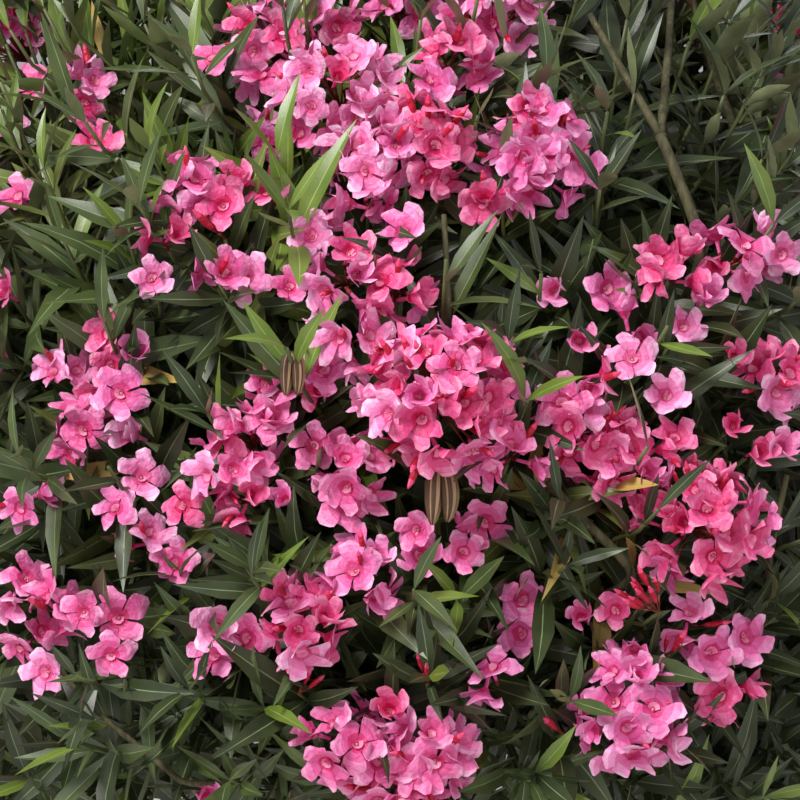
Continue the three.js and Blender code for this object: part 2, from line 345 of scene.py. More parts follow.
@dataclass
class Gathering:
    """Copies of small shapes, joined into as few pieces as the triangle limit allows."""

    name: str  # the pieces' name, which gets a number when there are several
    slot: str  # the record's material slot
    materials: list[Material]  # in the order of the faces' finish numbers
    batches: list[list[tuple[Array, Template, Array]]] = field(default_factory=lambda: [[]])
    held: int = 0  # triangles in the last batch

    def add(self, template: Template, points: Array, finishes: Array | None = None) -> None:
        """Adds one copy of a shape.

        Args:
            template: gives the faces.
            points: the copy's points in the plant's frame.
            finishes: the finish number of each face, where it isn't the template's own.
        """
        if self.held + template.triangles > PIECE_LIMIT:
            self.batches.append([])
            self.held = 0
        self.batches[-1].append((points, template, template.finishes if finishes is None else finishes))
        self.held += template.triangles

    def pieces(self) -> list[Object]:
        """Joins each batch into one object that rides on the plant's body."""
        made = []
        for number, batch in enumerate(self.batches, 1):
            if not batch:
                continue
            points, shapes, finishes = zip(*batch)
            offsets = starts_of([len(run) for run in points])
            whole = Template(
                np.concatenate(points),
                np.concatenate([shape.corners + start for shape, start in zip(shapes, offsets)]),
                np.concatenate([shape.counts for shape in shapes]),
                np.concatenate(finishes),
            )
            name = self.name if len(self.batches) == 1 else f"{self.name}_{number}"
            made.append(piece_of(name, whole, self.materials))
            settle(made[-1], self.slot)
        return made


def piece_of(name: str, shape: Template | bmesh.types.BMesh,
             materials: list[Material]) -> Object:
    """Makes one smooth-shaded object.

    Args:
        name: the object's name.
        shape: its points and faces, or a modelled shape, which is freed.
        materials: the materials, in the order of the faces' finish numbers.

    Returns:
        The object, linked to the scene.
    """
    whole = shape if isinstance(shape, Template) else Template.from_bmesh(shape)
    mesh = bpy.data.meshes.new(name)
    faces = np.split(whole.corners, starts_of(whole.counts)[1:])
    mesh.from_pydata(whole.points, (), faces, shade_flat=False)
    mesh.polygons.foreach_set("material_index", whole.finishes.astype(np.int32))
    for material in materials:
        mesh.materials.append(material)
    mesh.validate()
    mesh.set_sharp_from_angle(angle=CRISP_ANGLE)
    made = bpy.data.objects.new(name, mesh)
    bpy.context.scene.collection.objects.link(made)
    return made


def settle(piece: Object, slot: str, *nodes: str) -> None:
    """Puts a piece on the plant's body and reports it.

    Args:
        piece: the piece.
        slot: the record's material slot; not used.
        nodes: the solids that it stands for.
    """
    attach(piece, BODY)
    if nodes:
        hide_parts(*nodes)
    LOG.info("%s: %d faces", piece.name, len(piece.data.polygons))


# Materials

def tone(red: int, green: int, blue: int) -> tuple[float, float, float, float]:
    """Turns a screen colour, each part from 0 to 255, into the linear colour that a shader takes."""
    parts = [part / 255 for part in (red, green, blue)]
    linear = [part / 12.92 if part <= 0.04045 else ((part + 0.055) / 1.055) ** 2.4 for part in parts]
    return (*linear, 1.0)


@dataclass(frozen=True)
class Value:
    """A node's output that takes part in arithmetic: each operator adds a Math node."""

    sheet: NodeSheet
    socket: NodeSocket

    def _math(self, operation: str, first: Value | float, second: Value | float) -> Value:
        """Adds a Math node with two inputs."""
        return self.sheet.node("ShaderNodeMath", {"operation": operation}, {0: first, 1: second})

    def __add__(self, other: Value | float) -> Value:
        """Adds another value or number."""
        return self._math("ADD", self, other)

    __radd__ = __add__

    def __sub__(self, other: Value | float) -> Value:
        """Takes another value or number away."""
        return self._math("SUBTRACT", self, other)

    def __rsub__(self, other: float) -> Value:
        """Takes this value away from a number."""
        return self._math("SUBTRACT", other, self)

    def __mul__(self, other: Value | float) -> Value:
        """Multiplies by another value or number."""
        return self._math("MULTIPLY", self, other)

    __rmul__ = __mul__

    def within(self, low: float, high: float) -> Value:
        """Stretches the range between two limits to 0 and 1, and cuts what is outside it.

        Args:
            low: what becomes 0.
            high: what becomes 1.

        Returns:
            The stretched value.
        """
        return self.sheet.node(
            "ShaderNodeMapRange", {"clamp": True, "interpolation_type": "SMOOTHSTEP"},
            {"Value": self, "From Min": low, "From Max": high},
        )


Inputs = dict[str | int, Value | float | tuple]  # by a socket's name or place


class NodeSheet:
    """One material's nodes, written as expressions."""

    def __init__(self, name: str) -> None:
        """Makes an empty node material.

        Args:
            name: the material's name.
        """
        self.material = bpy.data.materials.new(name)
        self.material.use_nodes = True
        self.tree = self.material.node_tree
        self.tree.nodes.clear()

    def node(self, kind: str, settings: dict, inputs: Inputs, output: int | str = 0) -> Value:
        """Adds any node.

        Args:
            kind: the node's type.
            settings: its own settings, which are set first.
            inputs: a number, colour or Value for each socket, by name or place.
            output: the output that is wanted, by name or place.

        Returns:
            That output.
        """
        made = self.tree.nodes.new(kind)
        for name, setting in settings.items():
            setattr(made, name, setting)
        for name, given in inputs.items():
            if isinstance(given, Value):
                self.tree.links.new(given.socket, made.inputs[name])
            else:
                made.inputs[name].default_value = given
        return Value(self, made.outputs[output])

    def place(self) -> Value:
        """Gives the point's place in the piece's own frame."""
        return self.node("ShaderNodeTexCoord", {}, {}, "Object")

    def stretched(self, x: float, y: float, z: float) -> Value:
        """Gives the place, scaled along each axis."""
        return self.node("ShaderNodeMapping", {}, {"Vector": self.place(), "Scale": (x, y, z)})

    def grain(self, scale: float, detail: float = 2.0, where: Value | None = None) -> Value:
        """Gives soft cloudy noise between 0 and 1.

        Args:
            scale: patches in a metre.
            detail: how many finer layers it has.
            where: the place to read it at, or None for the piece's own.

        Returns:
            The noise.
        """
        inputs = {"Vector": where or self.place(), "Scale": scale, "Detail": detail}
        return self.node("ShaderNodeTexNoise", {}, inputs, 0)

    def cells(self, scale: float, where: Value | None = None) -> Value:
        """Gives the distance to the nearest of many scattered points."""
        inputs = {"Vector": where or self.place(), "Scale": scale}
        return self.node("ShaderNodeTexVoronoi", {}, inputs, "Distance")

    def blend(self, factor: Value | float, first: Value | tuple, second: Value | tuple) -> Value:
        """Mixes two colours, each another blend or a screen colour."""
        first, second = (colour if isinstance(colour, Value) else tone(*colour) for colour in (first, second))
        return self.node("ShaderNodeMix", {"data_type": "RGBA"}, {0: factor, 6: first, 7: second}, 2)

    def bump(self, height: Value, depth: float, strength: float = 1.0) -> Value:
        """Turns a height into a bent normal.

        Args:
            height: the height, from 0 to 1.
            depth: how high 1 stands, in metres.
            strength: how much of it shows.

        Returns:
            The normal.
        """
        return self.node("ShaderNodeBump", {}, {"Height": height, "Distance": depth, "Strength": strength})

    def surface(self, inputs: Inputs) -> Material:
        """Ends the sheet with the main shader.

        Args:
            inputs: a number, colour or Value for each of the shader's sockets, by name.

        Returns:
            The material.
        """
        shader = self.node("ShaderNodeBsdfPrincipled", {}, inputs)
        end = self.tree.nodes.new("ShaderNodeOutputMaterial")
        self.tree.links.new(shader.socket, end.inputs["Surface"])
        return self.material


@dataclass(frozen=True)
class Finish(ABC):
    """How one kind of surface looks."""

    name: str

    @abstractmethod
    def inputs(self, sheet: NodeSheet) -> Inputs:
        """Gives the main shader's inputs.

        Args:
            sheet: where their nodes go.

        Returns:
            A number, colour or Value for each socket, by its name.
        """

    def material(self) -> Material:
        """Builds the finish."""
        sheet = NodeSheet(self.name)
        return sheet.surface(self.inputs(sheet))


@dataclass(frozen=True)
class LeafFinish(Finish):
    """A leaf's skin: two near tones in soft patches, a leathery grain and a waxy shine."""

    dark: Screen
    light: Screen
    roughness: float = 0.41
    wax: float = 0.20

    def inputs(self, sheet: NodeSheet) -> Inputs:
        """Gives the main shader's inputs."""
        patches = sheet.grain(26.0, 3.0).within(0.32, 0.68)
        fine = sheet.grain(900.0, 2.0)
        return {
            "Base Color": sheet.blend(patches, self.dark, self.light),
            "Roughness": self.roughness + 0.14 * (fine - 0.5),
            "Specular IOR Level": 0.5,
            "Coat Weight": self.wax,
            "Coat Roughness": 0.30,
            "Normal": sheet.bump(fine, 0.0003, 0.5),
        }


@dataclass(frozen=True)
class PetalFinish(Finish):
    """A petal's satin skin, or another soft part of the flower, with a painted glow in its deep colour that
    stands in for light shining through.
    """

    deep: Screen
    pale: Screen
    roughness: float = 0.5
    sheen: float = 0.25
    # painted glow: emission in the deep colour, standing in for light shining through the petal
    painted_glow: float = 0.0

    def inputs(self, sheet: NodeSheet) -> Inputs:
        """Gives the main shader's inputs."""
        patches = sheet.grain(75.0, 2.0).within(0.3, 0.7)
        folds = sheet.grain(230.0, 2.0)
        return {
            "Base Color": sheet.blend(patches, self.deep, self.pale),
            "Roughness": self.roughness,
            "Specular IOR Level": 0.35,
            "Sheen Weight": self.sheen,
            "Sheen Tint": tone(*self.pale),
            # painted glow: the deep colour shines as if lit through from behind
            "Emission Color": tone(*self.deep),
            "Emission Strength": self.painted_glow,
            "Normal": sheet.bump(folds, 0.0030, 0.7),
        }


@dataclass(frozen=True)
class BarkFinish(Finish):
    """Grey-brown bark with long streaks, pale corky spots and shallow cracks."""

    dark: Screen = (74, 62, 46)
    light: Screen = (132, 120, 92)
    spot: Screen = (168, 156, 128)

    def inputs(self, sheet: NodeSheet) -> Inputs:
        """Gives the main shader's inputs."""
        streaks = sheet.grain(1.0, 4.0, sheet.stretched(240.0, 240.0, 26.0))
        clouds = sheet.grain(30.0, 2.0)
        spots = 1 - sheet.cells(1.0, sheet.stretched(150.0, 150.0, 70.0)).within(0.1, 0.22)
        body = sheet.blend(streaks.within(0.3, 0.7), self.dark, self.light)
        worn = sheet.blend(clouds.within(0.5, 0.72) * 0.5, body, self.light)
        return {
            "Base Color": sheet.blend(spots * 0.55, worn, self.spot),
            "Roughness": 0.9 - 0.15 * streaks,
            "Normal": sheet.bump(streaks + 0.5 * spots, 0.0012, 0.8),
        }


@dataclass(frozen=True)
class ClayFinish(Finish):
    """Unglazed fired clay with a lime bloom, damp patches and fine turning lines."""

    clay: Screen = (186, 104, 66)
    fired: Screen = (160, 82, 50)
    bloom: Screen = (216, 182, 152)
    damp: Screen = (122, 66, 44)

    def inputs(self, sheet: NodeSheet) -> Inputs:
        """Gives the main shader's inputs."""
        clouds = sheet.grain(9.0, 4.0)
        speckle = sheet.grain(420.0, 2.0)
        lines = sheet.grain(1.0, 3.0, sheet.stretched(2.0, 2.0, 330.0))
        bloomed = sheet.grain(5.0, 6.0).within(0.54, 0.72) * speckle.within(0.2, 0.6)
        wet = sheet.grain(3.2, 3.0).within(0.56, 0.75)
        body = sheet.blend(clouds.within(0.3, 0.7), self.fired, self.clay)
        dampened = sheet.blend(wet * 0.35, body, self.damp)
        flecked = sheet.blend(speckle.within(0.62, 0.74) * 0.3, dampened, self.bloom)
        return {
            "Base Color": sheet.blend(bloomed * 0.5, flecked, self.bloom),
            "Roughness": 0.93 - 0.12 * wet,
            "Specular IOR Level": 0.3,
            "Normal": sheet.bump(speckle * 0.35 + lines, 0.0012, 0.55),
        }


@dataclass(frozen=True)
class SoilFinish(Finish):
    """Moist potting compost, dark with lighter fibres."""

    dark: Screen = (50, 37, 27)
    light: Screen = (112, 87, 63)

    def inputs(self, sheet: NodeSheet) -> Inputs:
        """Gives the main shader's inputs."""
        clods = sheet.grain(130.0, 5.0)
        fibres = sheet.cells(520.0).within(0.05, 0.4)
        return {
            "Base Color": sheet.blend(clods.within(0.42, 0.78), self.dark, self.light),
            "Roughness": 0.98 - 0.18 * fibres,
            "Specular IOR Level": 0.25,
            "Normal": sheet.bump(clods + 0.4 * fibres, 0.004, 0.9),
        }


@dataclass(frozen=True)
class FloorFinish(Finish):
    """A plain pale floor with hardly any texture."""

    colour: Screen = (222, 219, 213)
    cloud: Screen = (200, 197, 190)

    def inputs(self, sheet: NodeSheet) -> Inputs:
        """Gives the main shader's inputs."""
        return {
            "Base Color": sheet.blend(sheet.grain(3.0, 3.0) * 0.12, self.colour, self.cloud),
            "Roughness": 0.7,
        }


# The camera and the photograph's frame

@dataclass(frozen=True)
class View:
    """The photograph's view of the crown: near, level with the flowers and looking slightly down."""

    target: Triple = (0.0, -0.50, 1.030)
    distance: float = 2.60
    elevation: float = math.radians(3.0)
    width: float = 0.60  # metres across the picture at the target
    picture: float = 800.0  # pixels across the picture
    sensor: float = 36.0  # millimetres

    @property
    def outlook(self) -> Array:
        """The direction from the plant to the camera."""
        return np.array((0.0, -math.cos(self.elevation), math.sin(self.elevation)))

    @property
    def eye(self) -> Array:
        """The camera's place."""
        return np.array(self.target) + self.outlook * self.distance

    @property
    def upright(self) -> Array:
        """The picture's upward direction."""
        return np.array((0.0, math.sin(self.elevation), math.cos(self.elevation)))

    @property
    def slope(self) -> float:
        """Half the picture's width, one metre away from the camera."""
        return self.width / 2 / self.distance

    def ray(self, pixel_x: float, pixel_y: float) -> Array:
        """Gives the direction from the camera through a pixel of the photograph.

        Args:
            pixel_x: the pixel's place from the left.
            pixel_y: its place from the top.

        Returns:
            The direction, of length 1.
        """
        right = (pixel_x / self.picture * 2 - 1) * self.slope
        rise = (1 - pixel_y / self.picture * 2) * self.slope
        return unit(-self.outlook + SIDEWAYS * right + self.upright * rise)

    def pixel(self, point: Array) -> Pair:
        """Gives the pixel of the photograph at which a point would show.

        Args:
            point: the point in the plant's frame.

        Returns:
            The pixel's place from the left and from the top.
        """
        away = point - self.eye
        depth = -float(np.dot(away, self.outlook))
        right = float(away[0]) / depth / self.slope
        rise = float(np.dot(away, self.upright)) / depth / self.slope
        return (right + 1) * self.picture / 2, (1 - rise) * self.picture / 2

    def sees(self, point: Array, margin: float) -> bool:
        """Whether a point lies in the picture, widened by a margin in pixels."""
        return all(-margin < place < self.picture + margin for place in self.pixel(point))

    def camera(self) -> None:
        """Makes the scene's camera."""
        data = bpy.data.cameras.new("camera")
        data.sensor_width = self.sensor
        data.lens = self.sensor * self.distance / self.width
        made = bpy.data.objects.new("camera", data)
        made.location = Vector(self.eye)
        made.rotation_euler = Vector(-self.outlook).to_track_quat("-Z", "Y").to_euler()
        bpy.context.scene.collection.objects.link(made)
        bpy.context.scene.camera = made


VIEW = View()


class Organ(Enum):
    """What a shoot bears at its tip."""

    LEAVES = "leaves"
    HEAD = "flower head"
    BUDS = "spray of buds"
    PODS = "seed pods"


class Detail(Enum):
    """How finely a shoot is made."""

    CLOSE = "seen from close by"
    OUTER = "in the crown's outer layer"
    INNER = "behind the outer layer"


@dataclass(frozen=True)
class Spot:
    """Something that the photograph shows, or a tip that fills in, by its middle and width in pixels."""

    CLOSE_DEPTH = 0.75  # what stands further out is seen from close by
    FILL_DEPTH = 0.70  # what stands no further out only closes the gaps, in the deep green that paints shade behind the outer layer

    pixel_x: float
    pixel_y: float
    width: float
    depth: float  # share of the crown's reach
    organ: Organ = Organ.HEAD
    yellowed: bool = False

    @property
    def detail(self) -> Detail:
        """How finely its shoot is made."""
        if self.depth > self.CLOSE_DEPTH:
            return Detail.CLOSE
        return Detail.OUTER if self.depth > self.FILL_DEPTH else Detail.INNER


def heads(depth: float, *places: Triple) -> tuple[Spot, ...]:
    """Gives heads at one depth, each by its middle and width in pixels."""
    return tuple(Spot(x, y, width, depth) for x, y, width in places)


def tips(depth: float, *places: Pair) -> tuple[Spot, ...]:
    """Gives leafy tips at one depth, each by its pixel."""
    return tuple(Spot(x, y, 0.0, depth, Organ.LEAVES) for x, y in places)


FRONT_SPOTS = (
    *heads(0.97, (440, 394, 148), (706, 522, 122), (494, 678, 62), (626, 716, 106)),
    *heads(0.96, (510, 458, 68), (527, 108, 52), (303, 622, 88), (352, 752, 88), (430, 752, 88)),
    *heads(0.95, (502, 384, 56), (396, 786, 84), (390, 712, 56), (635, 648, 48)),
    *heads(0.94, (632, 360, 50), (676, 270, 66), (48, 672, 56), (112, 655, 50)),
    *heads(0.93, (339, 88, 105), (375, 148, 105), (428, 140, 92), (189, 190, 72), (163, 240, 62),
        (152, 280, 50), (214, 278, 64), (346, 275, 78), (396, 290, 76), (350, 335, 70), (404, 236, 58),
        (540, 150, 108), (589, 380, 62), (665, 398, 58), (732, 260, 74), (732, 362, 40), (776, 374, 76),
        (562, 404, 56), (579, 430, 78), (624, 458, 92), (668, 446, 62), (776, 448, 58), (14, 590, 62),
        (60, 612, 66), (24, 640, 62), (86, 612, 40), (365, 578, 80), (691, 624, 62), (709, 652, 50),
        (724, 690, 68), (742, 637, 34)),
    *heads(0.92, (367, 200, 66), (24, 500, 60), (487, 196, 62), (701, 300, 44), (617, 610, 44)),
    *heads(0.91, (774, 250, 62), (732, 428, 54)),
    *heads(0.90, (270, 196, 40), (290, 290, 44), (246, 278, 36), (240, 190, 30), (430, 84, 46),
        (630, 330, 62), (120, 618, 30), (219, 626, 34)),
    *heads(0.89, (315, 232, 60), (324, 370, 60), (451, 58, 72), (578, 342, 50), (680, 328, 46),
        (217, 471, 72), (250, 440, 80), (242, 496, 66), (352, 469, 78), (217, 656, 38), (250, 638, 34)),
    *heads(0.90, (117, 510, 58)),
    *heads(0.88, (484, 70, 50), (143, 540, 60), (184, 507, 58), (270, 412, 66), (288, 502, 50),
        (314, 446, 60), (344, 504, 50), (204, 790, 34), (418, 530, 52), (459, 545, 62), (486, 522, 40)),
    *heads(0.87, (502, 6, 92), (452, 22, 52), (556, 292, 46), (604, 290, 42), (178, 566, 34),
        (581, 619, 52)),
    *heads(0.86, (520, 600, 40), (521, 634, 56)),
    *heads(0.84, (270, 36, 92), (325, 22, 72), (398, 6, 64)),
    *heads(0.83, (262, 80, 36), (112, 335, 52), (62, 372, 62), (106, 364, 66), (80, 432, 72), (138, 437, 44)),
    *heads(0.80, (265, 138, 60), (6, 365, 36)),
    *heads(0.86, (96, 146, 40), (88, 84, 60), (6, 128, 50), (214, 62, 44), (38, 92, 40), (10, 296, 36),
        (136, 356, 36), (142, 478, 44), (122, 394, 40), (300, 138, 46), (22, 200, 34), (266, 386, 48),
        (322, 392, 44), (420, 556, 38), (480, 80, 48)),
    *heads(0.92, (224, 208, 46), (655, 264, 40), (752, 454, 44), (484, 204, 44)),
    *tips(0.98, (252, 578)),
    *tips(0.97, (288, 210), (478, 116), (414, 590), (62, 4), (782, 40)),
    *tips(0.96, (668, 345), (95, 720), (570, 700), (10, 30), (730, 20)),
    *tips(0.95, (508, 345), (560, 500), (190, 690), (-20, -20)),
    *tips(0.94, (2, 110)),
    *tips(0.93, (770, 600), (600, 190), (792, 150)),
    *tips(0.92, (30, -34)),
    *tips(0.90, (-14, 60), (724, 96), (26, 34)),
    *tips(0.88, (176, 716), (66, 744)),
    *tips(0.84, (120, 750), (650, 770)),
    *tips(0.80, (133, 62), (96, 776), (6, 44)),
    *tips(0.72, (776, 128), (792, 186), (60, 772), (-6, 16), (16, 70)),
    *tips(0.60, (8, 50), (2, 84)),
    Spot(222, 232, 44, 0.93, Organ.BUDS), Spot(666, 610, 66, 1.0, Organ.BUDS),
    Spot(428, 684, 34, 0.96, Organ.BUDS), Spot(668, 660, 36, 0.95, Organ.BUDS),
    Spot(566, 735, 30, 0.95, Organ.BUDS), Spot(298, 694, 26, 0.92, Organ.BUDS),
    Spot(440, 462, 62, 0.95, Organ.PODS), Spot(291, 350, 46, 0.97, Organ.PODS),
    Spot(368, 250, 36, 0.95, Organ.PODS),
    Spot(556, 484, 0, 0.9, Organ.LEAVES, True), Spot(596, 490, 0, 0.9, Organ.LEAVES, True),
    Spot(646, 556, 0, 0.91, Organ.LEAVES, True),
    *(Spot(50 * n - 20, 745 + 35 * (n % 2), 0, 0.80 + 0.08 * (n % 3), Organ.LEAVES) for n in range(18)),
    *(Spot(58 * n - 10, 4 + 26 * (n % 2), 0, 0.78, Organ.LEAVES) for n in range(15)),
    *(Spot(60 + 136 * (n % 6), -60 + 136 * (n // 6), 0, 0.66, Organ.LEAVES) for n in range(42)),
    *(Spot(80 * n, -66 + 30 * (n % 2), 0, 0.86, Organ.LEAVES) for n in range(11)),
    *(Spot(128 + 136 * (n % 6), -10 + 100 * (n // 6), 0, 0.69, Organ.LEAVES) for n in range(12)),
    *(Spot(90 * n + 20, 815, 0, 0.69, Organ.LEAVES) for n in range(9)),
    *(Spot(100 * n + 10, 790, 0, 0.45, Organ.LEAVES) for n in range(8)),
    *(Spot(100 * n + 40, 20 + 50 * (n % 2), 0, 0.45, Organ.LEAVES) for n in range(8)),
)

# The forked twig at the photograph's upper right and other bare wood: the pixels along each piece,
# its depth, and its radius at either end.
FORK = (
    (((708, 268), (690, 205), (660, 135)), 0.90, 0.0052, 0.0044),
    (((660, 135), (628, 80), (590, 15)), 0.90, 0.0036, 0.0026),
    (((660, 135), (668, 70), (672, -10)), 0.90, 0.0036, 0.0028),
    (((772, 250), (735, 130), (698, 30), (690, -20)), 0.82, 0.0044, 0.0032),
    (((200, 798), (150, 755), (110, 724), (75, 690), (50, 655)), 0.93, 0.0032, 0.0022),
    (((450, 320), (447, 270), (444, 215)), 0.90, 0.0028, 0.0022),
    (((645, 585), (610, 545), (578, 515), (548, 482)), 0.92, 0.0044, 0.0036),
    (((757, 650), (768, 560), (787, 475)), 0.91, 0.0028, 0.0022),
)


# The plan of the plant, the same as in its solids

@dataclass(frozen=True)
class CrownPlan:
    """Where the masses, stems and boughs are, by the rule and sizes of the solids."""

    heart: Triple = (0.0, 0.0, 0.925)
    reach: Triple = (0.560, 0.550, 0.580)
    mass_count: int = 15
    lowest_sine: float = -0.56
    crown_turn: float = -0.35
    upward_habit: float = 0.4
    mass_start: float = 0.4
    mass_stem_length: float = 0.088
    ring_angle: float = math.radians(17.0)
    ring_shoots: int = 5
    seed: int = 4710
    gap: float = 0.0003
    stem_count: int = 5
    soil_height: float = 0.342
    foot_ring: float = 0.062
    fork_ring: float = 0.128
    fork_height: float = 0.640
    fork_spread: float = 0.034
    bough_spacing: float = 0.0062

    def directions(self) -> Array:
        """Gives the direction of each mass from the crown's heart."""
        k = np.arange(self.mass_count)
        sine = 1 - (k + 0.5) * (1 - self.lowest_sine) / self.mass_count
        cosine = np.sqrt(1 - sine ** 2)
        azimuth = k * GOLDEN_ANGLE + self.crown_turn
        return np.column_stack((cosine * np.cos(azimuth), cosine * np.sin(azimuth), sine))

    def point(self, direction: Array, depth: float) -> Array:
        """Gives the point in a direction, at a share of the crown's reach."""
        return np.array(self.heart) + direction * np.array(self.reach) * depth

    def growth(self, direction: Array) -> Array:
        """Gives the way that a mass's own stem grows: outwards and a little up."""
        return unit(unit(direction * np.array(self.reach)) + UP * self.upward_habit)

    def scaled(self, point: Array) -> Array:
        """Gives a point's place as shares of the crown's reach."""
        return (point - np.array(self.heart)) / np.array(self.reach)

    def mass_at(self, point: Array) -> int:
        """Finds the mass whose space holds a point."""
        return int(np.argmax(self.directions() @ self.scaled(point)))

    def groups(self) -> list[list[int]]:
        """Shares the masses out among the stems, neighbours in azimuth together."""
        towards = self.directions()
        order = sorted(range(self.mass_count), key=lambda k: math.atan2(towards[k][1], towards[k][0]))
        size = self.mass_count // self.stem_count
        return [order[s * size:(s + 1) * size] for s in range(self.stem_count)]

    def stem_controls(self, group: list[int], index: int) -> list[Array]:
        """Gives the control points of a stem, from the soil to its fork.

        Args:
            group: the masses that it carries.
            index: the stem's place in the row.

        Returns:
            Four points.
        """
        towards = self.directions()[group][:, :2]
        bearing = (towards / norm(towards, axis=1)[:, None]).sum(0)
        outward = np.array((*unit(bearing), 0.0))
        foot = outward * self.foot_ring + UP * (self.soil_height + self.gap)
        height = self.fork_height + self.fork_spread * (1 if index % 2 else -1)
        fork = outward * self.fork_ring + UP * height
        rise = (height - foot[2]) / 3
        leaning = unit(outward * 0.3 + UP)
        return [foot, foot + UP * rise, fork - leaning * rise, fork]

    def bough_controls(self, stem: list[Array], group: list[int]) -> dict[int, list[Array]]:
        """Gives the control points of a stem's boughs, each on the side of the fork that faces its mass.

        Args:
            stem: the stem's control points.
            group: the masses that it carries.

        Returns:
            Four points for each mass, by the mass's number.
        """
        fork = stem[-1]
        axis = unit(stem[3] - stem[2])
        side = unit(np.cross(axis, UP))
        other = unit(np.cross(axis, side))
        towards = self.directions()
        ends = [self.point(towards[k], self.mass_start) for k in group]
        bearings = [math.atan2(np.dot(end - fork, other), np.dot(end - fork, side)) for end in ends]
        order = sorted(range(len(group)), key=lambda member: bearings[member])
        step = FULL_TURN / len(group)
        drift = [bearings[member] - place * step for place, member in enumerate(order)]
        turn = math.atan2(sum(map(math.sin, drift)), sum(map(math.cos, drift)))
        controls = {}
        for place, member in enumerate(order):
            angle = turn + place * step
            across = side * math.cos(angle) + other * math.sin(angle)
            foot = fork + axis * self.gap + across * self.bough_spacing
            end = ends[member]
            length = float(norm(end - foot))
            arrival = self.growth(towards[group[member]])
            controls[group[member]] = [foot, foot + axis * length * 0.3, end - arrival * length * 0.34, end]
        return controls


PLAN = CrownPlan()


# Stems and boughs

@dataclass
class Limb:
    """One stem or bough: its path and its radius along it."""

    node: str
    path: Path
    radii: Array


@dataclass
class Limbs:
    """The woody frame of the plant, with its bark's relief."""

    foot_radius: float = 0.0140
    tip_radius: float = 0.0105
    flare: float = 0.55
    flare_length: float = 0.12
    bough_foot_radius: float = 0.0050
    bough_tip_radius: float = 0.0039
    ring_step: float = 0.0055
    stem_sides: int = 28
    bough_sides: int = 14
    joint_step: float = 0.047  # between the swollen rings where leaves once stood
    joint_shift: float = 0.01  # from one limb to the next
    joint_swell: float = 0.07
    joint_width: float = 0.0042
    ridge_depth: float = 0.05
    ridge_scale: Pair = (2.2, 22.0)  # round a limb and along it
    least_rings: int = 12
    limbs: list[Limb] = field(default_factory=list)

    def plan(self) -> None:
        """Works out every stem and bough."""
        for s, group in enumerate(PLAN.groups()):
            controls = PLAN.stem_controls(group, s)
            path = self._path(controls)
            along = np.linspace(0.0, 1.0, len(path.points))
            radii = np.interp(along, (0, 1), (self.foot_radius, self.tip_radius))
            radii = radii * (1 + self.flare * np.exp(-along / self.flare_length))
            self.limbs.append(Limb(f"stem_{s + 1}", path, radii))
            for mass, bough in PLAN.bough_controls(controls, group).items():
                path = self._path(bough)
                radii = np.linspace(self.bough_foot_radius, self.bough_tip_radius, len(path.points))
                self.limbs.append(Limb(f"bough_{mass + 1:02d}", path, radii))

    def _path(self, controls: list[Array]) -> Path:
        """Draws a limb's path with rings close enough for its relief."""
        rings = round(Path.bezier(controls, 24).length / self.ring_step)
        return Path.bezier(controls, max(self.least_rings, rings) + 1)

    def build(self) -> None:
        """Makes one piece for each limb, in place of its solid."""
        bark = BarkFinish("bark_grey_brown").material()
        for number, limb in enumerate(self.limbs):
            sides = self.stem_sides if limb.node.startswith("stem") else self.bough_sides
            tube = tube_of(sides, len(limb.path.points) - 1)
            points = bent(tube, limb.path, self._relief(tube, limb, number))
            piece = piece_of(f"{limb.node}_bark", replace(tube, points=points), [bark])
            settle(piece, "bark", limb.node)

    def _relief(self, tube: Template, limb: Limb, number: int) -> Array:
        """Gives the bark its ridges and swollen joints.

        Args:
            tube: the straight tube of the limb.
            limb: the limb.
            number: its place in the row, which makes its bark its own.

        Returns:
            The radius at each of the tube's points.
        """
        rings = len(limb.path.points) - 1
        ring = np.rint(tube.points[:, 2] * rings).astype(int)
        angle = np.arctan2(tube.points[:, 1], tube.points[:, 0])
        along = tube.points[:, 2] * limb.path.length
        from_joint = (along + self.joint_shift * number) % self.joint_step
        swell = self.joint_swell * np.exp(-((from_joint - self.joint_step / 2) / self.joint_width) ** 2)
        scale, climb = self.ridge_scale
        ridges = np.array([
            noise.noise(Vector((math.cos(a) * scale, math.sin(a) * scale, z * climb + number * 7.0)))
            for a, z in zip(angle, along)
        ])
        return limb.radii[ring] * (1 + swell + self.ridge_depth * ridges)

    def nearest(self) -> tuple[Array, Array]:
        """Gives sample points of all limbs and the radius at each."""
        points = np.concatenate([limb.path.points[::3] for limb in self.limbs])
        return points, np.concatenate([limb.radii[::3] for limb in self.limbs])


# Leaves

class LeafTint(Enum):
    """The colours of a shoot's leaves: upper side, underside and midrib finish numbers."""

    DEEP = (0, 5, 7)
    MIDDLE = (1, 5, 7)
    OLIVE = (2, 5, 8)
    YOUNG = (3, 6, 8)
    OCHRE = (4, 4, 8)


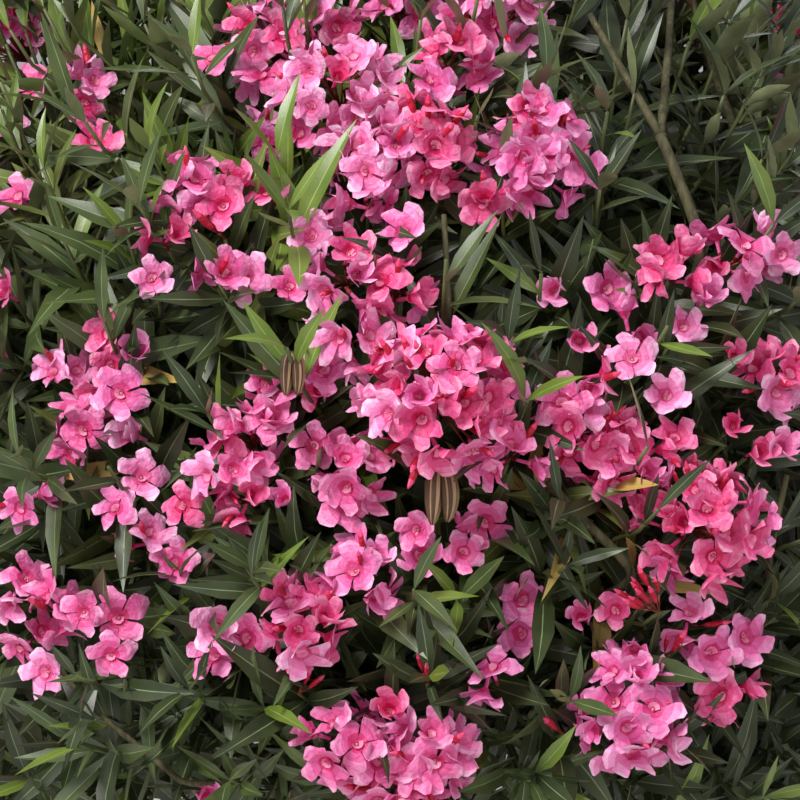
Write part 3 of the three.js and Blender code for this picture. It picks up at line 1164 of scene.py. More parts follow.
@dataclass
class LeafStock:
    """Lance-shaped leaves of length 1: an upper side with its midrib, and an underside."""

    STATIONS = {
        Detail.CLOSE: (0.0, 0.12, 0.32, 0.58, 0.82, 1.0),
        Detail.OUTER: (0.0, 0.16, 0.42, 0.74, 1.0),
        Detail.INNER: (0.0, 0.28, 0.68, 1.0),
    }  # where a leaf's cross lines are, as shares of its length
    UPPER, UNDER, RIB = 0, 1, 2  # the parts of LeafTint's numbers

    half_width: float = 0.102
    broad_place: float = 0.9  # below 1, a leaf is broadest nearer its foot
    slenderness: float = 1.2
    rib: float = 0.055  # half the midrib's width, as a share of the half width
    fold: float = 0.26  # how high the edges stand, as a share of the half width
    thickness: float = 0.004
    bends: tuple[Triple, ...] = (
        (-0.10, 0.04, 8.0), (0.03, -0.06, -12.0), (0.12, 0.09, 20.0), (0.20, -0.07, -26.0),
        (0.30, 0.05, 24.0), (0.08, 0.11, 38.0), (0.40, -0.08, -16.0),
    )  # droop and sway at the tip, and twist in degrees

    def finishes(self) -> list[Material]:
        """Makes the leaf finishes, in the order that LeafTint numbers them."""
        skins = (
            LeafFinish("leaf_deep_green", (40, 51, 27), (58, 70, 36)),
            LeafFinish("leaf_middle_green", (56, 70, 35), (79, 93, 48)),
            LeafFinish("leaf_olive", (80, 91, 41), (105, 116, 56)),
            LeafFinish("leaf_young", (88, 110, 38), (112, 132, 54), 0.34),
            LeafFinish("leaf_ochre", (178, 148, 74), (206, 180, 112), 0.5),
            LeafFinish("leaf_underside", (110, 119, 82), (146, 153, 114), 0.55),
            LeafFinish("leaf_young_underside", (112, 136, 74), (136, 158, 96), 0.6),
            LeafFinish("midrib_grey_green", (104, 122, 86), (128, 146, 106), 0.5),
            LeafFinish("midrib_yellow_green", (130, 146, 78), (152, 168, 100), 0.5),
        )
        return [skin.material() for skin in skins]

    def templates(self, detail: Detail) -> list[Template]:
        """Makes one leaf for each bend, with as many lines and ribs as its shoot's detail asks for."""
        return [self._leaf(detail, *bend) for bend in self.bends]

    def _leaf(self, detail: Detail, droop: float, sway: float, twist: float) -> Template:
        """Models one leaf along +Y, with its upper side towards +Z.

        Args:
            detail: how finely its shoot is made.
            droop: how far its tip hangs, as a share of its length.
            sway: how far its tip swings aside.
            twist: how far it is turned over at its tip, in degrees.

        Returns:
            The leaf.
        """
        shape = bmesh.new()
        self._sheet(shape, detail, self.UPPER)
        bmesh.ops.reverse_faces(shape, faces=self._sheet(shape, detail, self.UNDER))
        bmesh.ops.remove_doubles(shape, verts=shape.verts, dist=1e-4)
        for vert in shape.verts:
            x, share, z = vert.co
            turn = math.radians(twist) * share
            vert.co.x = x * math.cos(turn) + z * math.sin(turn) + sway * share ** 2
            vert.co.z = z * math.cos(turn) - x * math.sin(turn) - droop * share ** 2
        return Template.from_bmesh(shape)

    def _sheet(self, shape: bmesh.types.BMesh, detail: Detail, side: int) -> list[bmesh.types.BMFace]:
        """Adds one side of the leaf.

        Args:
            shape: the leaf so far.
            detail: how finely its shoot is made.
            side: UPPER or UNDER.

        Returns:
            The side's faces.
        """
        stations = self.STATIONS[detail]
        ribbed = side == self.UPPER and detail is not Detail.INNER
        columns = (-1.0, -self.rib, self.rib, 1.0) if ribbed else (-1.0, 0.0, 1.0)
        last_column, last_station = len(columns) - 1, len(stations) - 1
        grid = bmesh.ops.create_grid(shape, x_segments=last_column, y_segments=last_station, size=1.0)
        made = grid["verts"]
        faces = {face for vert in made for face in vert.link_faces}
        for face in faces:
            in_middle = abs(face.calc_center_median().x) < 1 / 3
            face.material_index = self.RIB if ribbed and in_middle else side
        for vert in made:
            across = columns[round((vert.co.x + 1) / 2 * last_column)]
            share = stations[round((vert.co.y + 1) / 2 * last_station)]
            half = 0.0
            if 0 < share < 1:
                half = self.half_width * math.sin(math.pi * share ** self.broad_place) ** self.slenderness
            fall = self.thickness * side * (1 - abs(across)) if half else 0.0
            vert.co = (across * half, share, self.fold * abs(across) * half - fall)
        return list(faces)


# Flowers

class FlowerPart(IntEnum):
    """The finish numbers of a flower's parts, with its petals in the first tint."""

    SKIN = 0
    MIDDLE = 1
    DEEP = 2
    # the rim zone: a pale painted highlight along part of each petal's tip
    RIM = 3
    FRINGE = 16
    EYE = 17
    CALYX = 18
    STALK = 19


@dataclass(frozen=True)
class Bloom:
    """One flower's shape: how its petals open, cup, twist and ruffle."""

    opening: float  # degrees above flat at the petal's foot
    tip_opening: float  # degrees above flat at its tip
    twist: float  # degrees by which each petal leans over the next
    ruffle: float
    seed: int


@dataclass
class FlowerStock:
    """Open flowers of five contorted petals, with throat, fringe, eye, tube and calyx."""

    petal_count: int = 5
    petal_length: float = 0.0228
    petal_half_width: float = 0.0092
    foot_width: float = 0.20  # share of the half width at a petal's foot
    broadest: float = 0.80  # share of its length at which it is broadest
    shoulder: float = 0.72  # share of its length at which its tip begins to round off
    sweep: float = 0.0030  # how far its tip swings sideways
    deep_end: float = 0.2  # shares of its length at which its zones end or begin
    middle_end: float = 0.5
    # beyond this share, part of the rim carries a pale painted highlight
    highlight_start: float = 0.75
    throat_radius: float = 0.0018
    tube_length: float = 0.0105
    tube_radius: float = 0.0013
    teeth: int = 10  # of the fringe, long and short in turn
    near_rows: tuple[float, ...] = (0.0, 0.30, 0.58, 0.83, 1.0)  # shares of a petal's length
    far_rows: tuple[float, ...] = (0.0, 0.44, 0.80, 1.0)
    blooms: tuple[Bloom, ...] = (
        Bloom(40, -2, 16, 0.0030, 1), Bloom(48, 12, 22, 0.0036, 2), Bloom(56, 30, 20, 0.0032, 3),
        Bloom(36, -18, 16, 0.0038, 4), Bloom(62, 48, 26, 0.0028, 5), Bloom(46, 2, 22, 0.0040, 6),
        Bloom(50, 18, 26, 0.0040, 7), Bloom(64, 70, 24, 0.0024, 8),
    )
    tints: tuple[tuple[str, Screen], ...] = (
        ("rose", (217, 95, 154)), ("pale", (223, 122, 175)), ("warm", (212, 76, 132)),
        ("lilac", (216, 100, 161)),
    )
    zones: tuple[tuple[str, Screen, Screen], ...] = (
        ("skin", (0, 0, 0), (16, 48, 38)), ("middle", (-6, -19, -15), (1, 5, 3)),
        ("deep", (-27, -56, -55), (-13, -33, -34)), ("rim", (9, 28, 20), (23, 84, 58)),
    )  # each zone's two tones, as steps from the tint; the rim's pale tones are a painted highlight
    painted_glow: float = 0.10  # painted glow in each deep colour, standing in for light that shines through a petal

    def finishes(self) -> list[Material]:
        """Makes the flower finishes: four zones in each of four tints, the rim zone a painted highlight, then
        the small parts.
        """
        skins = [
            PetalFinish(f"petal_{tint}_{zone}", tuple(a + b for a, b in zip(base, deep)),
                        tuple(a + b for a, b in zip(base, pale)), 0.46, 0.25, self.painted_glow)
            for tint, base in self.tints
            for zone, deep, pale in self.zones
        ]
        skins += [
            PetalFinish("flower_fringe", (224, 116, 164), (236, 158, 190), 0.5, 0.2, self.painted_glow),
            PetalFinish("flower_eye", (222, 124, 146), (238, 170, 172), 0.6, 0.1, self.painted_glow),
            PetalFinish("flower_calyx", (96, 26, 30), (134, 44, 40), 0.5, 0.1),
            PetalFinish("flower_stalk", (128, 50, 42), (150, 78, 56), 0.55, 0.0),
        ]
        return [skin.material() for skin in skins]

    def numbers(self, template: Template, tint: int) -> Array:
        """Gives a copy's finish numbers: its petals in one tint, and its small parts in their own."""
        own = template.finishes
        return np.where(own < len(self.zones), own + tint * len(self.zones), own)

    def templates(self, fine: bool) -> list[Template]:
        """Makes one flower for each bloom, with finer petals and a fringe where it is fine."""
        return [self._flower(bloom, fine) for bloom in self.blooms]

    def _flower(self, bloom: Bloom, fine: bool) -> Template:
        """Models one flower that faces +Z, with the middle of its throat at the origin.

        Args:
            bloom: its shape.
            fine: whether its petals have more lines, and its throat a fringe.

        Returns:
            The flower.
        """
        shape = bmesh.new()
        stream = Stream(bloom.seed)
        for petal in range(self.petal_count):
            self._petal(shape, bloom, stream, petal * FULL_TURN / self.petal_count, fine)
        throat, tube = self.throat_radius, self.tube_length
        for low, high, depth, foot, part in (
            (self.tube_radius, throat, tube, 0.0004 - tube, FlowerPart.MIDDLE),
            (0.0009, 0.0022, 0.0055, -0.004 - tube, FlowerPart.CALYX),
            (throat * 0.8, 0.0003, 0.0030, -0.0002, FlowerPart.EYE),
        ):  # each cone's two radii, height and foot
            made = bmesh.ops.create_cone(shape, segments=5, radius1=low, radius2=high, depth=depth)["verts"]
            bmesh.ops.translate(shape, verts=made, vec=(0.0, 0.0, foot + depth / 2))
            for face in {face for vert in made for face in vert.link_faces}:
                face.material_index = part
        if fine:
            self._fringe(shape)
        return Template.from_bmesh(shape)

    def _petal(self, shape: bmesh.types.BMesh, bloom: Bloom, stream: Stream, angle: float,
               fine: bool) -> None:
        """Adds one petal: a strip that widens to a round tip, arched, cupped, twisted and ruffled.

        Args:
            shape: the flower so far.
            bloom: the flower's shape.
            stream: makes each petal a little different.
            angle: where round the throat it stands.
            fine: whether it has more lines.
        """
        rows, columns = (self.near_rows, 3) if fine else (self.far_rows, 2)
        steps = len(rows) - 1
        made = bmesh.ops.create_grid(shape, x_segments=columns, y_segments=steps, size=1.0)["verts"]
        highlight_from = stream.between(-1.0, 0.6)  # the rim carries a pale painted highlight on the side that leans over the next petal
        for face in {face for vert in made for face in vert.link_faces}:
            middle = face.calc_center_median()
            along = rows[int((middle.y + 1) / 2 * steps)]
            # a face beyond the shoulder on that side takes the painted highlight
            rim = along > self.highlight_start and middle.x > highlight_from
            face.material_index = (
                FlowerPart.RIM if rim else FlowerPart.DEEP if along < self.deep_end
                else FlowerPart.MIDDLE if along < self.middle_end else FlowerPart.SKIN
            )
        foot = math.radians(bloom.opening + stream.between(-9, 9))
        tip = math.radians(bloom.tip_opening + stream.between(-34, 34))
        length = self.petal_length * stream.between(0.88, 1.06)
        lean = math.tan(math.radians(bloom.twist + stream.between(-9, 9)))
        phase = stream.turn()
        curl = stream.between(0.05, 0.45)
        cup = stream.between(-0.35, 0.20)
        angle += stream.between(-0.08, 0.08)
        radial = Vector((math.cos(angle), math.sin(angle), 0.0))
        lateral = Vector((-math.sin(angle), math.cos(angle), 0.0))
        for vert in made:
            v = vert.co.x
            u = rows[round((vert.co.y + 1) / 2 * steps)]
            end = max(0.0, u - self.shoulder) / (1 - self.shoulder)
            bend = foot + (tip - foot) * u / 2
            run = length * (u + (0.04 * v - 0.13 * v * v) * u ** 3)
            widening = math.sin(math.pi / 2 * min(1.0, u / self.broadest)) ** 1.9
            half = self.petal_half_width * (self.foot_width + 0.84 * widening)
            half *= 1 - (0.24 if v > 0 else 0.36) * end ** 2
            high = run * math.sin(bend) + v * half * lean * u
            high += half * (0.3 * v * v * (1 - u) + cup * v * v * u + curl * max(0.0, v) ** 3 * u * u)
            high += bloom.ruffle * u * u * math.sin(2.7 * math.pi * v + phase)
            out = self.throat_radius + run * math.cos(bend) - bloom.ruffle * abs(v) * u
            vert.co = radial * out + lateral * (v * half + self.sweep * u * u) + Vector((0.0, 0.0, high))

    def _fringe(self, shape: bmesh.types.BMesh) -> None:
        """Adds the pale torn fringe round the throat: a flared ring with teeth of uneven height.

        Args:
            shape: the flower so far.
        """
        made = bmesh.ops.create_circle(shape, cap_ends=False, segments=self.teeth, radius=self.throat_radius)
        edges = list({edge for vert in made["verts"] for edge in vert.link_edges})
        for item in bmesh.ops.extrude_edge_only(shape, edges=edges)["geom"]:
            if isinstance(item, bmesh.types.BMVert):
                place = round(math.atan2(item.co.y, item.co.x) / (FULL_TURN / self.teeth))
                tooth = (2.5, 1.2)[place % 2]
                item.co = Vector((item.co.x * tooth, item.co.y * tooth, 0.0006 + 0.0013 * tooth))
            elif isinstance(item, bmesh.types.BMFace):
                item.material_index = FlowerPart.FRINGE


@dataclass
class BudStock:
    """Closed buds: slim twisted spindles along +Z, crimson with a rose tip."""

    SKIN, TIP, CALYX = 0, 1, 2  # finish numbers

    radius: float = 0.0027 / 0.026  # share of the length
    calyx_end: float = 0.16
    tip_from: float = 0.72
    twist: float = 1.5
    fold: float = 0.12

    def finishes(self) -> list[Material]:
        """Makes the bud finishes."""
        return [
            # the crimson skin and the rose tip carry a faint painted glow that stands in for light shining
            # through
            PetalFinish("bud_crimson", (168, 18, 44), (204, 36, 70), 0.42, 0.15, 0.03).material(),
            PetalFinish("bud_rose_tip", (222, 56, 104), (236, 92, 138), 0.42, 0.15, 0.03).material(),
            PetalFinish("bud_calyx", (92, 22, 28), (122, 38, 36), 0.5, 0.1).material(),
        ]

    def template(self, sides: int, rings: int) -> Template:
        """Models one bud of length 1 whose foot is at the origin.

        Args:
            sides: how many sides it has.
            rings: how many steps it has from foot to tip.

        Returns:
            The bud.
        """
        shape = bmesh.new()
        bmesh.ops.create_uvsphere(shape, u_segments=sides, v_segments=rings, radius=1.0)
        for face in shape.faces:
            high = (face.calc_center_median().z + 1) / 2
            face.material_index = (self.CALYX if high < self.calyx_end else self.TIP if high > self.tip_from
                                   else self.SKIN)
        for vert in shape.verts:
            high = (vert.co.z + 1) / 2
            swell = math.sin(math.pi * high ** 1.25) ** 0.8 if 0 < high < 1 else 0.0
            around = math.atan2(vert.co.y, vert.co.x) + high * self.twist
            radius = self.radius * swell * (1 + self.fold * math.cos(5 * around))
            vert.co = (radius * math.cos(around), radius * math.sin(around), high)
        return Template.from_bmesh(shape)


@dataclass
class PodStock:
    """Long ripe seed pods: ribbed, bowed and tapering, brown with ochre ribs."""

    sides: int = 21
    rings: int = 14
    ribs: int = 7
    radius: float = 0.0066
    rib_height: float = 0.16

    def finishes(self) -> list[Material]:
        """Makes the pod finishes: the furrows and the ribs."""
        return [
            LeafFinish("pod_brown", (62, 40, 30), (98, 68, 50), 0.62, 0.0).material(),
            LeafFinish("pod_ochre_rib", (146, 114, 80), (184, 154, 116), 0.6, 0.0).material(),
        ]

    def add(self, gathering: Gathering, path: Path, radius: float) -> None:
        """Adds one pod.

        Args:
            gathering: where it goes.
            path: its middle line, with a point more than it has rings.
            radius: its radius where it is thickest.
        """
        tube = tube_of(self.sides, self.rings)
        angle = np.arctan2(tube.points[:, 1], tube.points[:, 0])
        taper = np.sin(np.pi * np.clip(tube.points[:, 2] * 0.93 + 0.05, 0, 1)) ** 0.55
        radii = radius * taper * (1 + self.rib_height * np.cos(angle * self.ribs))
        middles = np.add.reduceat(tube.points[tube.corners, :2], starts_of(tube.counts), axis=0)
        angle = np.arctan2(middles[:, 1], middles[:, 0]) - math.pi / self.sides
        on_rib = np.cos(angle * self.ribs) > 0.6
        gathering.add(tube, bent(tube, path, radii), on_rib.astype(np.int32))


# The crown

@dataclass
class Shoot:
    """One twig of the crown, with what it bears."""

    HEAD_RISE = 0.55  # of a head's radius, from its shoot's tip to its middle

    path: Path
    organ: Organ
    width: float  # radius of the head, spray or pair of pods at its tip
    facing: Array
    foot_radius: float
    tip_radius: float
    first_leaf: float  # share of the length at which the leaves begin
    detail: Detail
    tint: LeafTint
    bare: bool = False

    @property
    def close(self) -> bool:
        """Whether it is seen from close by."""
        return self.detail is Detail.CLOSE

    @property
    def centre(self) -> Array:
        """The middle of what the tip bears: pods hang from it, and all else stands on it."""
        tip = self.path.points[-1]
        if self.organ is Organ.PODS:
            return tip - UP * self.width
        return tip + self.facing * self.width * self.HEAD_RISE


@dataclass
class Mass:
    """One mass of the crown: its place and its own stream of numbers, the same as in the solids."""

    number: int
    direction: Array  # from the crown's heart

    def __post_init__(self) -> None:
        """Starts the stream and works out where the mass's own stem begins and how it grows."""
        self.stream = Stream(PLAN.seed + self.number)
        self.turn = self.stream.turn()
        self.start = PLAN.point(self.direction, PLAN.mass_start)
        self.growth = PLAN.growth(self.direction)


@dataclass
class Crown:
    """Every shoot of the crown, planned mass by mass."""

    outer_shoots: int = 24
    inner_shoots: int = 11
    low_shoots: int = 15  # more inner shoots in the masses that hang lowest
    spread: float = math.radians(29.0)
    inner_spread: float = 1.15  # times as wide as the outer shoots
    drawing_in: float = 0.86  # each time that a shoot would leave its mass
    flowering: float = 0.48
    bud_share: float = 0.07
    pod_share: float = 0.06
    head_radius: Pair = (0.034, 0.055)
    head_sink: float = 0.45  # of a head's radius, by which its shoot is shorter
    outer_depth: Pair = (0.87, 1.01)
    head_depth: Pair = (0.88, 0.99)
    inner_depth: Pair = (0.46, 0.80)
    surface: float = 0.9  # depth at which a direction is judged
    head_clearance: float = 0.062
    spot_fill: float = 0.95  # share of a measured width, as the petals overreach
    spot_sink: float = 0.85  # the same for a head that the photograph shows
    shown_margin: float = 40.0  # pixels round the picture in which only the spots give heads
    close_margin: float = 90.0  # pixels round the picture in which a shoot is finely made
    foot_share: Pair = (0.25, 1.0)
    arch: float = 0.5
    upturn: float = 0.55  # how far the tips turn up
    leafy_length: float = 0.19  # of a shoot, from its tip
    bare_foot: float = 0.12  # least share without leaves
    lowest_sine: float = -0.64  # no tip hangs lower than this
    lowest_head: float = -0.46
    young_share: float = 0.02  # of the leafy shoots, then of all shoots up to each colour
    olive_share: float = 0.14
    middle_share: float = 0.58
    tint_base: float = 0.15  # how much darker the leaves are than the even mix
    painted_light_drift: float = 1.20  # painted light: how much lighter they get high on the left
    painted_shade_drift: float = 0.90  # painted shade: how much darker they get towards the right
    twig_radius: float = 0.0029
    tip_radius: float = 0.0015
    rings: int = 9
    inner_rings: int = 5
    shoots: list[Shoot] = field(default_factory=list)

    def __post_init__(self) -> None:
        """Lists the masses."""
        self.masses = [Mass(number, direction) for number, direction in enumerate(PLAN.directions())]

    def plan(self) -> None:
        """Plans what the photograph shows first, and then the rest of each mass round it."""
        for spot in FRONT_SPOTS:
            self._spot(spot)
        self._fork()
        for mass in self.masses:
            self._outer(mass)
        for mass in self.masses:
            self._inner(mass)
        LOG.info("crown: %d shoots, %d heads", len(self.shoots),
                 sum(shoot.organ is Organ.HEAD for shoot in self.shoots))

    @staticmethod
    def _on_crown(pixel_x: float, pixel_y: float, depth: float) -> Array:
        """Finds where the line of sight through a pixel of the photograph meets the crown.

        Args:
            pixel_x: the pixel's place from the left.
            pixel_y: its place from the top.
            depth: the share of the crown's reach at which to meet it.

        Returns:
            The point, or the nearest one where the line passes by.
        """
        reach = np.array(PLAN.reach) * depth
        start = (VIEW.eye - np.array(PLAN.heart)) / reach
        along = VIEW.ray(pixel_x, pixel_y) / reach
        a = np.dot(along, along)
        b = np.dot(start, along)
        inside = b * b - a * (np.dot(start, start) - 1)
        return VIEW.eye + VIEW.ray(pixel_x, pixel_y) * (-b - math.sqrt(max(inside, 0.0))) / a

    def _spot(self, spot: Spot) -> None:
        """Plans the shoot that carries something the photograph shows.

        Args:
            spot: what it shows.
        """
        point = self._on_crown(spot.pixel_x, spot.pixel_y, spot.depth)
        mass = self.masses[PLAN.mass_at(point)]
        metres = VIEW.width / VIEW.picture * norm(point - VIEW.eye) / VIEW.distance
        width = spot.width / 2 * metres * self.spot_fill
        facing = unit(unit(PLAN.scaled(point)) * 0.6 + UP * 0.25 + VIEW.outlook * 0.6)
        tip = point - facing * width * self.spot_sink
        colour = LeafTint.OCHRE if spot.yellowed else None
        self._grow(mass, tip, spot.organ, width, facing, spot.detail, colour)

    def _fork(self) -> None:
        """Plans the bare wood that the photograph shows; what isn't part of the fork starts in its mass."""
        for pixels, depth, foot_radius, tip_radius in FORK:
            knots = [self._on_crown(x, y, depth) for x, y in pixels]
            if pixels[0] != FORK[0][0][-1]:
                mass = self.masses[PLAN.mass_at(knots[0])]
                start = mass.start + mass.growth * 0.04
                knots = [start, (start + knots[0]) / 2 - UP * 0.05, *knots]
            path = Path.smooth(knots, 10 * len(knots) - 18)
            self.shoots.append(Shoot(path, Organ.LEAVES, 0.0, path.tangents[-1], foot_radius, tip_radius, 2.0,
                                     Detail.CLOSE, LeafTint.MIDDLE, True))

    def _outer(self, mass: Mass) -> None:
        """Plans one mass's outer shoots: those of the solids, then finer ones between them.

        Args:
            mass: the mass.
        """
        targets = [mass.direction]
        for n in range(PLAN.ring_shoots):
            bearing = mass.turn + n * FULL_TURN / PLAN.ring_shoots
            targets.append(tilted(mass.direction, PLAN.ring_angle, bearing))
        for n in range(self.outer_shoots - len(targets)):
            angle = self.spread * math.sqrt((n + 0.7) / (self.outer_shoots - len(targets)))
            bearing = mass.turn + n * GOLDEN_ANGLE
            towards = tilted(mass.direction, angle, bearing)
            while (PLAN.mass_at(PLAN.point(towards, self.surface)) != mass.number
                   or towards[2] < self.lowest_sine):
                angle *= self.drawing_in
                towards = tilted(mass.direction, angle, bearing)
            targets.append(towards)
        for n, towards in enumerate(targets):
            solids_head = (mass.number % 2 == 0) if n == 0 else n % 2 == 0
            flowers = solids_head if n <= PLAN.ring_shoots else mass.stream.chance(self.flowering)
            self._target(mass, towards, flowers and towards[2] > self.lowest_head)

    def _target(self, mass: Mass, towards: Array, flowers: bool) -> None:
        """Plans one outer shoot.

        Args:
            mass: its mass.
            towards: the direction of its tip from the crown's heart.
            flowers: whether it flowers, where there is room and the spots don't rule.
        """
        stream = mass.stream
        ahead = np.dot(towards, VIEW.outlook)
        shown = VIEW.sees(PLAN.point(towards, self.surface), self.shown_margin) and ahead > 0.1
        width = stream.between(*self.head_radius)
        tip = PLAN.point(towards, stream.between(*(self.head_depth if flowers else self.outer_depth)))
        facing = unit(towards + UP * stream.between(0.1, 0.45))
        if flowers and (shown or self._crowded(tip + facing * width * Shoot.HEAD_RISE)):
            flowers = False
        detail = Detail.CLOSE if VIEW.sees(tip, self.close_margin) and ahead > 0.0 else Detail.OUTER
        organ = Organ.LEAVES
        if flowers:
            tip = tip - facing * width * self.head_sink
            organ = (Organ.BUDS if stream.chance(self.bud_share)
                     else Organ.PODS if stream.chance(self.pod_share) else Organ.HEAD)
        self._grow(mass, tip, organ, width, facing, detail)

    def _crowded(self, centre: Array) -> bool:
        """Whether another head already stands too close to a place.

        Args:
            centre: the place, where a head's middle would be.

        Returns:
            True where there is no room.
        """
        return any(
            shoot.organ is Organ.HEAD and norm(shoot.centre - centre) < self.head_clearance
            for shoot in self.shoots
        )

    def _inner(self, mass: Mass) -> None:
        """Plans one mass's short inner shoots, which close the crown behind the outer ones, in the deep green
        as painted shade.

        Args:
            mass: the mass.
        """
        count = self.inner_shoots + (self.low_shoots if mass.direction[2] < 0.1 else 0)
        for n in range(count):
            angle = self.spread * self.inner_spread * math.sqrt((n + 0.5) / count)
            towards = tilted(mass.direction, angle, n * GOLDEN_ANGLE + mass.stream.between(0, 1))
            if towards[2] < self.lowest_sine:
                towards = unit(towards * (1.0, 1.0, 0.5))
            tip = PLAN.point(towards, mass.stream.between(*self.inner_depth))
            self._grow(mass, tip, Organ.LEAVES, 0.0, unit(towards), Detail.INNER)

    def _grow(self, mass: Mass, tip: Array, organ: Organ, width: float, facing: Array,
              detail: Detail, colour: LeafTint | None = None) -> None:
        """Grows one shoot from its mass's stem, first along the stem and then out to its tip.

        Args:
            mass: its mass.
            tip: where it ends.
            organ: what it bears there.
            width: the radius of what it bears.
            facing: the way that this faces.
            detail: how finely it is made.
            colour: its leaves' colours, or None to draw them; an inner shoot then takes the deep green as
                painted shade.
        """
        foot = mass.start + mass.growth * PLAN.mass_stem_length * mass.stream.between(*self.foot_share)
        reach = float(norm(tip - foot))
        heading = unit((tip - foot) / reach + mass.growth * self.arch)
        arrival = unit(facing + UP * self.upturn)
        controls = [foot, foot + heading * reach * 0.42, tip - arrival * reach * 0.3, tip]
        inner = detail is Detail.INNER
        path = Path.bezier(controls, (self.inner_rings if inner else self.rings) + 1)
        tint = self._tint(mass.stream.share(), tip, organ)
        first = max(self.bare_foot, 1 - self.leafy_length / max(path.length, 0.01))
        # inner shoots all take the deep green: painted shade that darkens the gaps behind the outer layer
        self.shoots.append(Shoot(path, organ, width, facing, self.twig_radius, self.tip_radius, first, detail,
                                 colour or (LeafTint.DEEP if inner else tint)))

    def _tint(self, draw: float, tip: Array, organ: Organ) -> LeafTint:
        """Chooses a shoot's leaf colours, with painted light high on the left and painted shade towards the
        right.

        Args:
            draw: a number between 0 and 1.
            tip: where the shoot ends.
            organ: what it bears, as only leafy tips are young.

        Returns:
            The colours.
        """
        across, _, rise = PLAN.scaled(tip)
        right = max(0.0, across)
        draw += self.tint_base + self.painted_shade_drift * right
        draw -= self.painted_light_drift * max(0.0, 0.7 * rise - 1.4 * right)
        if draw < self.young_share and organ is Organ.LEAVES:
            return LeafTint.YOUNG
        if draw < self.olive_share:
            return LeafTint.OLIVE
        return LeafTint.MIDDLE if draw < self.middle_share else LeafTint.DEEP


